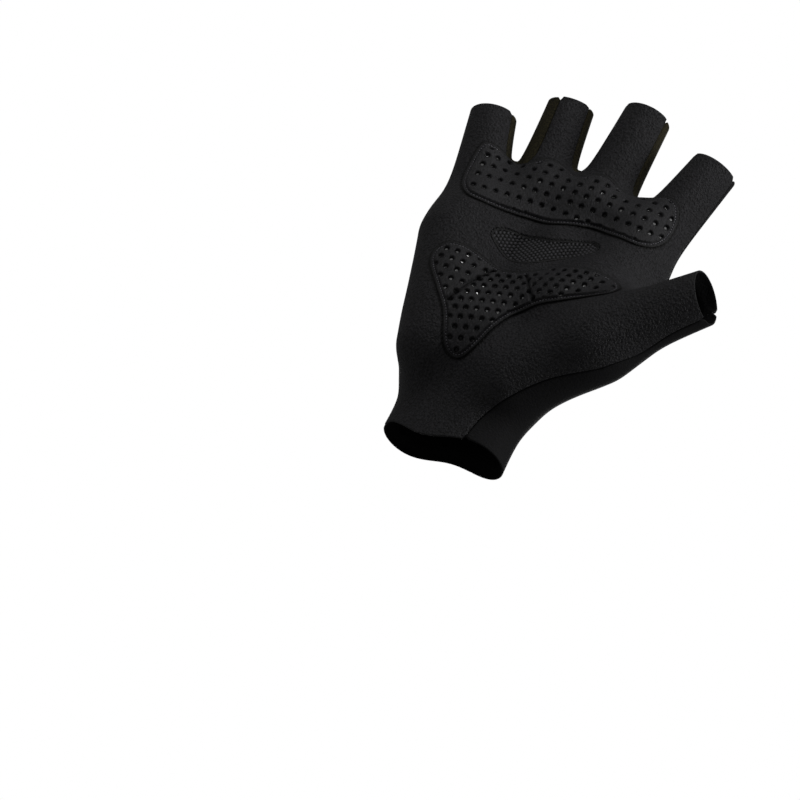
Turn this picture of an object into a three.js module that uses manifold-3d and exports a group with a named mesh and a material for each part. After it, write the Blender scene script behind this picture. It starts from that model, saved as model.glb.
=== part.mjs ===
/**
 * A right-hand half-finger fitness glove, empty and holding the form of a hand.
 *
 * Millimetres. The origin is the centre of the wrist opening, +Z runs to the
 * fingers, +Y comes out of the palm, -Y out of the back of the hand, and the
 * thumb is on the -X side.
 *
 * The form is one smooth field: a soft union of tapered round rods, a row for
 * each finger, web, ridge and full place of the hand. The cloth is the shell
 * between two levels of that field. A seam sheet, bands between the fingers and
 * outlines on the palm part the shell into its panels, and hems trim it.
 */
import * as THREE from 'three'
import { mergeVertices } from 'three/addons/utils/BufferGeometryUtils.js'
import Module from 'manifold-3d'

const wasm = await Module()
wasm.setup()

// Driving dimensions
const CLOTH = 1.5
const GAP = 0.4
const PAD_HEIGHT = 2.6
const BLEND = 3.2
const GRID = new THREE.Vector3(5, 6, 8)
const PAD_GRID = new THREE.Vector3(5.5, 5, 5.5)
const NET_EVENNESS = 0.5
const SHEET_STEP = 9
const HEM_CUTTER_LENGTH = 34
const HEM_CUTTER_SIDES = 24
const GROOVE_WIDTH = 0.9
const OUTLINE_STEPS = 2
const SLIVER_VOLUME = 1
const MEND_TOLERANCE = 0.1
const WELD_DISTANCE = 1e-4
const SETTLE_ROUNDS = 3
const SETTLE_STEP = 0.05
const LEAST_SLOPE = 0.2
const SEAM_STEP = 1
const MOST_SEAM_SLANT = 8
const PAST = 2
const LOW = new THREE.Vector3(-104, -36, -46)
const HIGH = new THREE.Vector3(64, 58, 200)

// Tapered rods of the form: two ends and the radius at each
const RODS = [
  { name: 'index', from: [-33, -1, 96], to: [-48, -4, 168], fromRadius: 11, toRadius: 8.6 },
  { name: 'middle', from: [-10, -3, 100], to: [-13, 0, 176], fromRadius: 11.4, toRadius: 8.7 },
  { name: 'ring', from: [11.5, -2, 98], to: [17.3, 0, 170], fromRadius: 10.7, toRadius: 8.4 },
  { name: 'little', from: [30, 5, 90], to: [43, 5, 152], fromRadius: 10.4, toRadius: 8.2 },
  { name: 'thumb', from: [-38, 24, 46.5], to: [-80, 35, 77], fromRadius: 13.2, toRadius: 9.7 },
  { name: 'web_index_middle', from: [-29, 2, 108], to: [-17, 1, 111], fromRadius: 9, toRadius: 9 },
  { name: 'web_middle_ring', from: [-4, 1, 112], to: [7, 1, 111], fromRadius: 9, toRadius: 9 },
  { name: 'web_ring_little', from: [19, 2, 99.5], to: [28, 3, 97.5], fromRadius: 8.5, toRadius: 8.5 },
  { name: 'web_thumb', from: [-35, 9, 70.5], to: [-47, 19, 57], fromRadius: 12, toRadius: 10.2 },
  { name: 'ridge_index', from: [-32, -1, 94], to: [-12, 6, 28], fromRadius: 13, toRadius: 14 },
  { name: 'ridge_middle', from: [-10, -4, 98], to: [-4, 2, 28], fromRadius: 12.5, toRadius: 15 },
  { name: 'ridge_ring', from: [12, -3, 96], to: [5, -2, 28], fromRadius: 12.5, toRadius: 15 },
  { name: 'ridge_little', from: [29.5, 5, 86], to: [14, -4, 28], fromRadius: 12.5, toRadius: 14.2 },
  { name: 'thumb_ball', from: [-15, 13, 27], to: [-40, 23, 47], fromRadius: 15.5, toRadius: 16.5 },
  { name: 'heel', from: [17.5, 12, 31], to: [30, 11.5, 68], fromRadius: 13.4, toRadius: 11.4 },
  { name: 'palm_thumb', from: [-19, 14.5, 50], to: [-29, 5, 82], fromRadius: 13.5, toRadius: 12.5 },
  { name: 'palm_middle', from: [0, 10.5, 40], to: [-5, 3.5, 84], fromRadius: 13, toRadius: 12 },
  { name: 'palm_outer', from: [15, 11, 44], to: [17, 6, 80], fromRadius: 12.5, toRadius: 11.5 },
  { name: 'wrist_thumb', from: [-10, 3, 30], to: [-10.5, 0.5, -14], fromRadius: 13, toRadius: 13.5 },
  { name: 'wrist_middle', from: [0, 0, 30], to: [0, -1, -14], fromRadius: 14, toRadius: 14 },
  { name: 'wrist_outer', from: [10, -3, 30], to: [12, -4, -14], fromRadius: 13, toRadius: 13.5 }
]

// Hems at the finger ends: a point of the plane, its outward way and how wide it cuts
const HEMS = [
  { name: 'index', centre: [-44.3, -3, 147.4], way: [-15, 6, 72], reach: 13 },
  { name: 'middle', centre: [-12.5, 0, 159], way: [-3, 3, 76], reach: 13 },
  { name: 'ring', centre: [16.3, 0, 153.2], way: [6, 13, 72], reach: 12.5 },
  { name: 'little', centre: [41, 4, 136], way: [11, 4, 62], reach: 12.5 },
  { name: 'thumb', centre: [-73, 33.4, 72], way: [-42, 18, 18], reach: 16 }
]

// Wrist hem: its height, its slope along x, the palm's tongue and the rise of the back
const WRIST_HEM = {
  height: -2.5,
  slope: 0.06,
  tongueDepth: 4.8,
  tongueX: 6,
  riseOfBack: 4,
  spread: 14,
  palmDepth: 15,
  backDepth: 13
}

// Thumb-side seam between palm and back, by x: its z and y where it crosses the
// palm side (low) and where it comes out again on the back or radial side (high)
const THUMB_SEAM = [
  { x: -90, lowZ: 74, lowY: 38.4, highZ: 86, highY: 27 },
  { x: -77, lowZ: 62.3, lowY: 34.8, highZ: 73, highY: 23.5 },
  { x: -67, lowZ: 53.5, lowY: 31.3, highZ: 65, highY: 19.5 },
  { x: -57, lowZ: 41.5, lowY: 27.5, highZ: 59.5, highY: 12.5 },
  { x: -51, lowZ: 35, lowY: 28, highZ: 65, highY: 8.5 },
  { x: -46, lowZ: 30, lowY: 28, highZ: 68, highY: 6.5 },
  { x: -34, lowZ: 23, lowY: 26.5, highZ: 62, highY: 5 },
  { x: -26, lowZ: 18, lowY: 24.5, highZ: 45, highY: 4 },
  { x: -18, lowZ: 11, lowY: 21, highZ: 30, highY: 3 },
  { x: -13, lowZ: 5, lowY: 17.5, highZ: 20, highY: 3 },
  { x: -10, lowZ: -6, lowY: 17, highZ: 8, highY: 3 },
  { x: -6, lowZ: -60, lowY: 17, highZ: -50, highY: 3 },
  { x: 60, lowZ: -60, lowY: 17, highZ: -50, highY: 3 }
]
const THUMB_SEAM_FADE = 10
const INDEX_SEAM_Y = -2.5

// Little-finger-side seam, by z
const LITTLE_SEAM = [
  { z: -46, y: 0 },
  { z: 18, y: 0 },
  { z: 38, y: 10 },
  { z: 70, y: 10 },
  { z: 100, y: 6.5 },
  { z: 200, y: 5 }
]
const SEAM_SWITCH = { from: -6, to: 6 }

// Among the fingers the sheet keeps to this height, which the strips cover, and
// goes over to the little finger's outer side by x
const FINGER_SEAM = { y: 1.5, lowZ: 95, highZ: 108, fromX: 26, toX: 36 }

// How far the wrist's cutter reaches to each side, and its step
const WRIST_CUTTER = { x: 50, y: 40, step: 4 }

// Strips between the fingers: the two fingers that each one runs up, and how far its
// full width reaches from their axes towards the back and the palm, as shares of
// the fingers' radii
const STRIPS = [
  {
    name: 'fourchette_index_middle',
    left: { finger: 'index', back: 0.75, palm: 0.5 },
    right: { finger: 'middle', back: 0.74, palm: 0.49 }
  },
  {
    name: 'fourchette_middle_ring',
    left: { finger: 'middle', back: 0.7, palm: 0.48 },
    right: { finger: 'ring', back: 0.57, palm: 0.5 }
  },
  {
    name: 'fourchette_ring_little',
    left: { finger: 'ring', back: 0.66, palm: 0.93 },
    right: { finger: 'little', back: 0.9, palm: 0.55 }
  }
]
const STRIP = { bottom: 104, top: 182, reachAtBottom: 3.7, growsFrom: 106, fullAt: 124 }

// Grained caps on the backs of two finger ends
const TABS = [
  { name: 'middle_tab', hem: 'middle', length: 15 },
  { name: 'ring_tab', hem: 'ring', length: 16.5 }
]
const TAB_CUTTER = 26

// Outlines on the palm, as x and z of the points of a closed smooth curve
const KNUCKLE_PAD = [
  [36.2, 108], [35.8, 101.2], [34, 95.5], [29.5, 91.3], [22, 91], [13, 92.4], [5, 93.9], [-3, 94.3],
  [-11.9, 97], [-18.5, 98.5], [-27, 96.5], [-34.6, 95.6], [-39.9, 98.3], [-42.6, 104], [-43.3, 111],
  [-42.6, 117], [-40, 121.7], [-35, 123.3], [-28.5, 121.5], [-23, 119.3], [-19, 119.6], [-13, 122.8],
  [-8, 122.3], [-3.7, 119.6], [1, 120.5], [6, 122.8], [10.5, 123.2], [15, 120.8], [19.5, 118.5],
  [25.6, 118.4], [31, 119], [34.7, 118.3], [36, 115]
]
const PALM_VENT = [
  [15.2, 79], [13.5, 83.3], [8, 85.2], [0, 85.6], [-6, 86], [-12, 89.4], [-18.8, 92.6], [-22.9, 90],
  [-23, 86.2], [-18.3, 83], [-12.6, 79.1], [-6.9, 74.5], [-0.9, 71.4], [4.3, 71.3], [9.2, 73.6]
]
const HEEL_PAD = [
  [20, 68.6], [26, 68], [29.5, 64.5], [30.4, 60], [28.5, 55], [22, 46], [16.2, 38], [13.5, 32],
  [11.5, 27], [9, 24], [5, 22.8], [1.5, 24.5], [-2, 29.6], [-4.8, 37.7], [-8.7, 44.3], [-15, 48.5],
  [-24, 51.3], [-34.5, 53.3], [-41.7, 57.3], [-43.2, 61.5], [-42, 66.5], [-38, 71.5], [-30.5, 74.7],
  [-21, 74.6], [-13.5, 73.5], [-4.2, 67.2], [1, 65.2], [8, 65.6], [14, 67.2]
]
const HEEL_GROOVES = [
  [[19.5, 36], [16.8, 40.4], [14.8, 44.5], [11.9, 52.9], [9, 59.4], [6.5, 65], [4, 70]],
  [[-0.5, 71.5], [-3.4, 66.8], [-5.6, 64.1], [-9, 59.2], [-13.6, 52], [-15.4, 48.9], [-18, 43.5]]
]
const HEEL_FIELDS = ['heel_pad_thumb', 'heel_pad_middle', 'heel_pad_outer']
const PALM_SIDE = { from: 5.5, to: 58 }
const PAD_ZONE = { low: new THREE.Vector3(-52, 4, 18), high: new THREE.Vector3(44, 52, 126) }

// Materials
const backKnit = new THREE.MeshStandardMaterial({ color: 0x1b1b1c, roughness: 0.85, metalness: 0 })
const palmLeather = new THREE.MeshStandardMaterial({ color: 0x2c2c2e, roughness: 0.6, metalness: 0 })
const tabLeather = new THREE.MeshStandardMaterial({ color: 0x303032, roughness: 0.6, metalness: 0 })
const stripMesh = new THREE.MeshStandardMaterial({ color: 0x2a281e, roughness: 0.9, metalness: 0 })
const padFoam = new THREE.MeshStandardMaterial({ color: 0x262628, roughness: 0.55, metalness: 0 })
const ventMesh = new THREE.MeshStandardMaterial({ color: 0x202021, roughness: 0.8, metalness: 0 })

// The field

const rods = RODS.map(({ name, from, to, fromRadius, toRadius }) => {
  const start = new THREE.Vector3(...from)
  const along = new THREE.Vector3(...to).sub(start)
  return { name, start, along, length2: along.lengthSq(), fromRadius, taper: toRadius - fromRadius }
})

/** Signed distance from a rod's skin, about true near it. */
function rodDistance(rod, p) {
  const x = p.x - rod.start.x
  const y = p.y - rod.start.y
  const z = p.z - rod.start.z
  const dot = x * rod.along.x + y * rod.along.y + z * rod.along.z
  const t = Math.min(1, Math.max(0, dot / rod.length2))
  const reach = Math.hypot(x - t * rod.along.x, y - t * rod.along.y, z - t * rod.along.z)
  return reach - rod.fromRadius - t * rod.taper
}

/** The soft union of all rods: zero on the glove's outer face. */
function form(p) {
  const distances = rods.map(rod => rodDistance(rod, p))
  const nearest = Math.min(...distances)
  const sum = distances.reduce((total, d) => total + Math.exp((nearest - d) / BLEND), 0)
  return nearest - BLEND * Math.log(sum)
}

/** The point of a rod's axis at a height z, also past its ends. */
function axisAt(name, z) {
  const rod = rods.find(candidate => candidate.name === name)
  return rod.start.clone().addScaledVector(rod.along, (z - rod.start.z) / rod.along.z)
}

/** The radius of a rod at a height z, also past its ends. */
function radiusAt(name, z) {
  const rod = rods.find(candidate => candidate.name === name)
  return rod.fromRadius + (rod.taper * (z - rod.start.z)) / rod.along.z
}

/** A smooth step from 0 to 1. */
function ease(t) {
  return THREE.MathUtils.smoothstep(t, 0, 1)
}

/** A smooth step from 0 at one value to 1 at another. */
function rampBetween(value, from, to) {
  return ease((value - from) / (to - from))
}

/** Straight-line reading of a table's column. */
function readTable(table, key, at, column) {
  const last = table.length - 1
  const above = table.findIndex(row => row[key] > at)
  if (above === 0) return table[0][column]
  if (above < 0) return table[last][column]
  const a = table[above - 1]
  const b = table[above]
  return THREE.MathUtils.mapLinear(at, a[key], b[key], a[column], b[column])
}

/** Height of the wrist hem over x and y. */
function hemHeight(x, y) {
  const { height, slope, tongueDepth, tongueX, riseOfBack, spread, palmDepth, backDepth } = WRIST_HEM
  const tongue = tongueDepth * ease(y / palmDepth) * Math.exp(-(((x - tongueX) / spread) ** 2))
  const rise = riseOfBack * ease(-y / backDepth) * Math.exp(-((x / spread) ** 2))
  return height + slope * x - tongue + rise
}

/** The sheet between palm and back, as y over x and z. */
function seamY(x, z) {
  const lowZ = readTable(THUMB_SEAM, 'x', x, 'lowZ')
  const lowY = readTable(THUMB_SEAM, 'x', x, 'lowY')
  const highZ = readTable(THUMB_SEAM, 'x', x, 'highZ')
  const highY = readTable(THUMB_SEAM, 'x', x, 'highY')
  const little = readTable(LITTLE_SEAM, 'z', z, 'y')
  const amongFingers = rampBetween(z, FINGER_SEAM.lowZ, FINGER_SEAM.highZ)
  const beforeLittle = 1 - rampBetween(x, FINGER_SEAM.fromX, FINGER_SEAM.toX)
  const outer = THREE.MathUtils.lerp(little, FINGER_SEAM.y, amongFingers * beforeLittle)
  const rest = THREE.MathUtils.lerp(INDEX_SEAM_Y, outer, rampBetween(x, SEAM_SWITCH.from, SEAM_SWITCH.to))
  if (z > highZ) return rest + (highY - rest) * Math.exp((highZ - z) / THUMB_SEAM_FADE)
  return THREE.MathUtils.mapLinear(z, lowZ, highZ, lowY, highY)
}

/** The seam sheet moved to one side, so that two panels keep their gap. */
function seamBeside(x, z, side) {
  const slopeX = (seamY(x + SEAM_STEP, z) - seamY(x - SEAM_STEP, z)) / (2 * SEAM_STEP)
  const slopeZ = (seamY(x, z + SEAM_STEP) - seamY(x, z - SEAM_STEP)) / (2 * SEAM_STEP)
  const slant = Math.min(MOST_SEAM_SLANT, Math.hypot(1, slopeX, slopeZ))
  return seamY(x, z) + side * (GAP / 2) * slant
}

// Solids

// The twelve edges of a unit cell, each as its two corners
const CELL_EDGES = [0, 1, 2].flatMap(axis =>
  [[0, 0], [0, 1], [1, 0], [1, 1]].map(([u, v]) => {
    const start = [u, v]
    start.splice(axis, 0, 0)
    const end = [...start]
    end[axis] = 1
    return [start, end]
  })
)

/** A closed mesh of merged corners, as a solid. */
function solidFrom(geometry) {
  geometry.deleteAttribute('normal')
  geometry.deleteAttribute('uv')
  const merged = mergeVertices(geometry, WELD_DISTANCE)
  const vertProperties = new Float32Array(merged.attributes.position.array)
  const triVerts = new Uint32Array(merged.index.array)
  return new wasm.Manifold(new wasm.Mesh({ numProp: 3, vertProperties, triVerts }))
}

/** A solid's surface, as a geometry. */
function geometryFrom(solid) {
  const mesh = solid.getMesh()
  const geometry = new THREE.BufferGeometry()
  geometry.setAttribute('position', new THREE.BufferAttribute(mesh.vertProperties, 3))
  geometry.setIndex(new THREE.BufferAttribute(mesh.triVerts, 1))
  geometry.computeVertexNormals()
  return geometry
}

/** Triangles of one quad, cut along its shorter way. */
function quadTriangles(points, [a, b, c, d]) {
  const short = points[a].distanceToSquared(points[c]) < points[b].distanceToSquared(points[d])
  return short ? [a, b, c, a, c, d] : [b, c, d, b, d, a]
}

/** Moves a point onto a level of a field. */
function settle(point, field, level) {
  for (let round = 0; round < SETTLE_ROUNDS; round++) {
    const value = field(point) - level
    const gradient = new THREE.Vector3()
    for (const axis of ['x', 'y', 'z']) {
      const beside = point.clone()
      beside[axis] += SETTLE_STEP
      gradient[axis] = (field(beside) - level - value) / SETTLE_STEP
    }
    point.addScaledVector(gradient, -value / Math.max(gradient.lengthSq(), LEAST_SLOPE))
  }
}

/**
 * Nets a level of a field: one point in each grid cell that the level passes
 * through, and one quad round each grid edge that crosses it.
 */
function netField(field, level, low, high, step) {
  const size = high.clone().sub(low).divide(step).ceil()
  const count = { x: size.x + 1, y: size.y + 1, z: size.z + 1 }
  const at = (i, j, k) => (i * count.y + j) * count.z + k
  const place = (i, j, k) => new THREE.Vector3(i, j, k).multiply(step).add(low)
  const values = new Float64Array(count.x * count.y * count.z)
  for (let i = 0; i < count.x; i++) {
    for (let j = 0; j < count.y; j++) {
      for (let k = 0; k < count.z; k++) values[at(i, j, k)] = field(place(i, j, k)) - level
    }
  }

  const points = []
  const cells = new Map()
  const cornerOf = (i, j, k) => {
    const key = at(i, j, k)
    if (cells.has(key)) return cells.get(key)
    const sum = new THREE.Vector3()
    let crossings = 0
    for (const [start, end] of CELL_EDGES) {
      const from = [i + start[0], j + start[1], k + start[2]]
      const to = [i + end[0], j + end[1], k + end[2]]
      const a = values[at(...from)]
      const b = values[at(...to)]
      if (a < 0 === b < 0) continue
      sum.add(place(...from).lerp(place(...to), a / (a - b)))
      crossings += 1
    }
    const point = sum.divideScalar(crossings).lerp(place(i + 0.5, j + 0.5, k + 0.5), NET_EVENNESS)
    settle(point, field, level)
    cells.set(key, points.push(point) - 1)
    return points.length - 1
  }

  const index = []
  for (let i = 1; i < size.x; i++) {
    for (let j = 1; j < size.y; j++) {
      for (let k = 1; k < size.z; k++) {
        const inside = values[at(i, j, k)] < 0
        const rings = [
          [[i + 1, j, k], [[i, j - 1, k - 1], [i, j, k - 1], [i, j, k], [i, j - 1, k]]],
          [[i, j + 1, k], [[i - 1, j, k - 1], [i - 1, j, k], [i, j, k], [i, j, k - 1]]],
          [[i, j, k + 1], [[i - 1, j - 1, k], [i, j - 1, k], [i, j, k], [i - 1, j, k]]]
        ]
        for (const [next, ring] of rings) {
          if (inside === values[at(...next)] < 0) continue
          const quad = ring.map(cell => cornerOf(...cell))
          if (!inside) quad.reverse()
          index.push(...quadTriangles(points, quad))
        }
      }
    }
  }
  return { points, index }
}

/** A net as a solid. */
function solidOfNet({ points, index }) {
  const geometry = new THREE.BufferGeometry().setFromPoints(points)
  geometry.setIndex(index)
  return solidFrom(geometry)
}

/** A copy of a net whose points have moved to another level of the field. */
function netAtLevel({ points, index }, field, level) {
  const moved = points.map(point => point.clone())
  for (const point of moved) settle(point, field, level)
  return { points: moved, index }
}

/**
 * A closed block between two sheets over a rectangle. place(u, v, w) turns the
 * sheet's own coordinates into a point.
 */
function blockBetween({ uFrom, uTo, vFrom, vTo, step = SHEET_STEP, lower, upper, place }) {
  const columns = Math.ceil((uTo - uFrom) / step)
  const rows = Math.ceil(Math.abs(vTo - vFrom) / step)
  const geometry = new THREE.BoxGeometry(1, 1, 1, columns, rows, 1)
  const corners = geometry.attributes.position
  for (let n = 0; n < corners.count; n++) {
    const u = THREE.MathUtils.lerp(uFrom, uTo, corners.getX(n) + 0.5)
    const v = THREE.MathUtils.lerp(vFrom, vTo, corners.getY(n) + 0.5)
    const w = corners.getZ(n) > 0 ? upper(u, v) : lower(u, v)
    corners.setXYZ(n, ...place(u, v, w))
  }
  return solidFrom(geometry)
}

/** A smooth closed curve through points given as x and z, as a list of Vector2. */
function smoothOutline(points) {
  const curve = new THREE.CatmullRomCurve3(points.map(([x, z]) => new THREE.Vector3(x, z, 0)), true)
  return curve.getPoints(points.length * OUTLINE_STEPS).slice(0, -1).map(p => new THREE.Vector2(p.x, p.y))
}

/** Moves a closed outline outwards by a distance. */
function growOutline(outline, distance) {
  const outward = THREE.ShapeUtils.area(outline) > 0 ? 1 : -1
  return outline.map((point, n) => {
    const before = outline.at(n - 1)
    const after = outline[(n + 1) % outline.length]
    const tangent = after.clone().sub(before).normalize()
    return new THREE.Vector2(tangent.y, -tangent.x).multiplyScalar(outward * distance).add(point)
  })
}

/** The block in front of the palm inside an outline of x and z. */
function palmPrism(outline) {
  const depth = PALM_SIDE.to - PALM_SIDE.from
  const geometry = new THREE.ExtrudeGeometry(new THREE.Shape(outline), { depth, bevelEnabled: false })
  geometry.rotateX(Math.PI / 2)
  geometry.translate(0, PALM_SIDE.to, 0)
  return solidFrom(geometry)
}

/** A narrow outline round an open line of x and z. */
function ribbonOutline(line, width) {
  const curve = new THREE.SplineCurve(line.map(([x, z]) => new THREE.Vector2(x, z)))
  const steps = line.length * OUTLINE_STEPS
  const sides = [[], []]
  for (let n = 0; n <= steps; n++) {
    const point = curve.getPoint(n / steps)
    const tangent = curve.getTangent(n / steps)
    const across = new THREE.Vector2(tangent.y, -tangent.x).multiplyScalar(width / 2)
    sides[0].push(point.clone().add(across))
    sides[1].unshift(point.clone().sub(across))
  }
  return sides.flat()
}

/** The biggest body of a solid, without the slivers that cuts leave. */
function mainBody(solid) {
  const bodies = solid.simplify(MEND_TOLERANCE).decompose()
  return bodies.reduce((best, body) => (body.volume() > best.volume() ? body : best))
}

// The glove's shell

const skin = netField(form, 0, LOW, HIGH, GRID)
const outerForm = solidOfNet(skin)
const innerForm = solidOfNet(netAtLevel(skin, form, -CLOTH))

/** The round cutter that trims a finger or thumb at its hem. */
function hemCutter({ centre, way, reach }) {
  const geometry = new THREE.CylinderGeometry(reach, reach, HEM_CUTTER_LENGTH, HEM_CUTTER_SIDES)
  geometry.translate(0, HEM_CUTTER_LENGTH / 2, 0)
  const outward = new THREE.Vector3(...way).normalize()
  geometry.applyQuaternion(new THREE.Quaternion().setFromUnitVectors(new THREE.Vector3(0, 1, 0), outward))
  geometry.translate(...centre)
  return solidFrom(geometry)
}

/** Everything below the wrist hem. */
function wristCutter() {
  return blockBetween({
    uFrom: -WRIST_CUTTER.x,
    uTo: WRIST_CUTTER.x,
    vFrom: -WRIST_CUTTER.y,
    vTo: WRIST_CUTTER.y,
    step: WRIST_CUTTER.step,
    lower: () => LOW.z - PAST,
    upper: hemHeight,
    place: (x, y, z) => [x, y, z]
  })
}

/** The whole cloth shell, trimmed at its six hems. */
function gloveShell() {
  const cutters = [wristCutter(), ...HEMS.map(hemCutter)]
  return cutters.reduce((shell, cutter) => shell.subtract(cutter), outerForm.subtract(innerForm))
}

/** Everything on the palm's side of the seam sheet. */
function palmSide(side) {
  return blockBetween({
    uFrom: LOW.x - PAST,
    uTo: HIGH.x + PAST,
    vFrom: HIGH.z + PAST,
    vTo: LOW.z - PAST,
    lower: (x, z) => seamBeside(x, z, side),
    upper: () => HIGH.y + PAST,
    place: (x, z, y) => [x, y, z]
  })
}

/** The band between two finger axes that a strip takes out of the shell. */
function stripBand({ left, right }, grow) {
  const middle = (across, z) => axisAt(left.finger, z).lerp(axisAt(right.finger, z), across)
  const reach = (side, across, z) => {
    const [leftFull, rightFull] = [left, right].map(row => row[side] * radiusAt(row.finger, z))
    const full = THREE.MathUtils.lerp(leftFull, rightFull, across)
    const share = rampBetween(z, STRIP.growsFrom, STRIP.fullAt)
    return THREE.MathUtils.lerp(STRIP.reachAtBottom, full, share) + grow
  }
  return blockBetween({
    uFrom: 0,
    uTo: 1,
    vFrom: STRIP.top,
    vTo: STRIP.bottom - grow,
    lower: (across, z) => middle(across, z).y - reach('back', across, z),
    upper: (across, z) => middle(across, z).y + reach('palm', across, z),
    place: (across, z, y) => [middle(across, z).x, y, z]
  })
}

/** The block round a finger end's back that its cap takes. */
function tabBlock({ hem, length }, grow) {
  const { centre, way } = HEMS.find(row => row.name === hem)
  const geometry = new THREE.BoxGeometry(TAB_CUTTER, TAB_CUTTER, TAB_CUTTER)
  geometry.translate(0, 0, TAB_CUTTER / 2 - length - grow)
  const outward = new THREE.Vector3(...way).normalize()
  geometry.applyQuaternion(new THREE.Quaternion().setFromUnitVectors(new THREE.Vector3(0, 0, 1), outward))
  geometry.translate(...centre)
  return solidFrom(geometry)
}

// Sub-parts

/** Makes a named mesh of a solid. */
function piece(name, solid, material) {
  const mesh = new THREE.Mesh(geometryFrom(solid), material)
  mesh.name = name
  return mesh
}

/** Strips between the fingers. */
function fourchettes(shell) {
  const group = new THREE.Group()
  for (const row of STRIPS) {
    group.add(piece(row.name, mainBody(shell.intersect(stripBand(row, 0))), stripMesh))
  }
  return group
}

/** The back of the glove and the caps on two finger ends. */
function backOfHand(rest) {
  const group = new THREE.Group()
  const back = rest.subtract(palmSide(-1))
  const tabs = TABS.map(row => ({ name: row.name, solid: mainBody(back.intersect(tabBlock(row, 0))) }))
  const panel = TABS.reduce((solid, row) => solid.subtract(tabBlock(row, GAP)), back)
  group.add(piece('back_panel', mainBody(panel), backKnit))
  for (const { name, solid } of tabs) group.add(piece(name, solid, tabLeather))
  return group
}

/** The palm, with its window of mesh. */
function palmOfHand(rest) {
  const group = new THREE.Group()
  const palm = rest.intersect(palmSide(1))
  const outline = smoothOutline(PALM_VENT)
  const panel = palm.subtract(palmPrism(growOutline(outline, GAP)))
  group.add(piece('palm_panel', mainBody(panel), palmLeather))
  group.add(piece('palm_vent', mainBody(palm.intersect(palmPrism(outline))), ventMesh))
  return group
}

/** The raised pads on the palm: one under the knuckles, three fields at the heel. */
function pads() {
  const group = new THREE.Group()
  const underside = solidOfNet(netAtLevel(skin, form, GAP))
  const { low, high } = PAD_ZONE
  const inZone = p => Math.max(form(p), low.x - p.x, p.x - high.x, low.y - p.y, low.z - p.z, p.z - high.z)
  const margin = PAD_GRID.clone().multiplyScalar(2)
  const top = solidOfNet(
    netField(inZone, GAP + PAD_HEIGHT, low.clone().sub(margin), high.clone().add(margin), PAD_GRID)
  )
  const padOver = outline => palmPrism(outline).intersect(top).subtract(underside)

  group.add(piece('knuckle_pad', mainBody(padOver(smoothOutline(KNUCKLE_PAD))), padFoam))

  const heelPad = HEEL_GROOVES.reduce(
    (solid, line) => solid.subtract(palmPrism(ribbonOutline(line, GROOVE_WIDTH))),
    padOver(smoothOutline(HEEL_PAD))
  )
  const middleOf = body => {
    const { min, max } = body.boundingBox()
    return (min[0] + max[0]) / 2
  }
  const fields = heelPad
    .simplify(MEND_TOLERANCE)
    .decompose()
    .filter(body => body.volume() > SLIVER_VOLUME)
    .sort((a, b) => middleOf(a) - middleOf(b))
  HEEL_FIELDS.forEach((name, n) => group.add(piece(name, fields[n], padFoam)))
  return group
}

const shell = gloveShell()
const rest = STRIPS.reduce((solid, row) => solid.subtract(stripBand(row, GAP)), shell)

const glove = new THREE.Group()
glove.name = 'fitness_glove'
glove.add(backOfHand(rest), palmOfHand(rest), fourchettes(shell), pads())

export default glove
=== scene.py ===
"""Fine model of a right-hand half-finger fitness glove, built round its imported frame.

Every length in the tables is in millimetres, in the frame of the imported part:
+Z runs to the fingers, +Y comes out of the palm, -Y out of the back of the hand
and the thumb is on the -X side. The meshes are turned into metres at the end.
"""

from __future__ import annotations

import logging
import math
from dataclasses import dataclass, field
from enum import Enum
from typing import Callable, Sequence

import bpy
import numpy as np
from mathutils import Matrix, Vector

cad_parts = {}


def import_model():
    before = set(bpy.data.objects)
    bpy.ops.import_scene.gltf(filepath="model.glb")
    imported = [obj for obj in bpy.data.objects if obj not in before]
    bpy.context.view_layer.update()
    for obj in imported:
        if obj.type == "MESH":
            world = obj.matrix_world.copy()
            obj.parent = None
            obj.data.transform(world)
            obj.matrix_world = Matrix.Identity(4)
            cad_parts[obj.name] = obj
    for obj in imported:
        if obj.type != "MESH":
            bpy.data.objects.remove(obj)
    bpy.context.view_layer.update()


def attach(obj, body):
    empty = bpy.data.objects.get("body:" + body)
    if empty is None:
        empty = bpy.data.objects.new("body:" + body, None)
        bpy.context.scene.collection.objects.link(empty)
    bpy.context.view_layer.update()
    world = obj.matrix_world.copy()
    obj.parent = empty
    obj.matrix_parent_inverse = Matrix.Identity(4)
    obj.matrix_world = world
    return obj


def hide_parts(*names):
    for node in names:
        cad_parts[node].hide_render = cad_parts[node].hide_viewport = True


log = logging.getLogger("glove")

Array = np.ndarray
Place = tuple[float, float, float]
Flat = tuple[float, float]

MM = 0.001
# Stand-in distances: of what isn't near a line, and from which a line isn't heeded
NOWHERE = 50.0
IDLE = 40.0
# The least size that is divided by
TINY = 1e-9
# The share of the way to the form that a drop or a line of sight takes at each step
DROP_SHARE = 0.85

# The cloth's thickness, and how softly the rods of the hand's form run together
CLOTH = 1.5
BLEND = 3.2
# A piece's border: the gap to its neighbour, how round its corners are, the radius of
# the rim's roll at seams, at hems and inside, where the rim starts, and its rings' angles
EDGE_GAP = -0.02
CORNER = 0.2
SEAM_ROLL = 0.75
HEM_ROLL = 0.35
INNER_ROLL = 0.2
RIM = 1.2
ROLL_ANGLES = (0, 22, 45, 67, 90)
# How much thinner the cloth is at a hem, and the distances over which it thins
HEM_THIN = 0.8
HEM_THIN_RUN = (1.2, 6.0)
# How near to a cut, as a share of the net's step, a point is moved onto it
SNAP = 0.3
# How far past an outline's box its distance is still worked out
OUTLINE_MARGIN = RIM + 2

# The skin's net: the box that it fills and its step
LOW = (-94.0, -36.0, -15.0)
HIGH = (60.0, 58.0, 166.0)
NET_STEP = 1.7
# The y from which an outline on the palm counts
PALM_Y = 5.5

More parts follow.
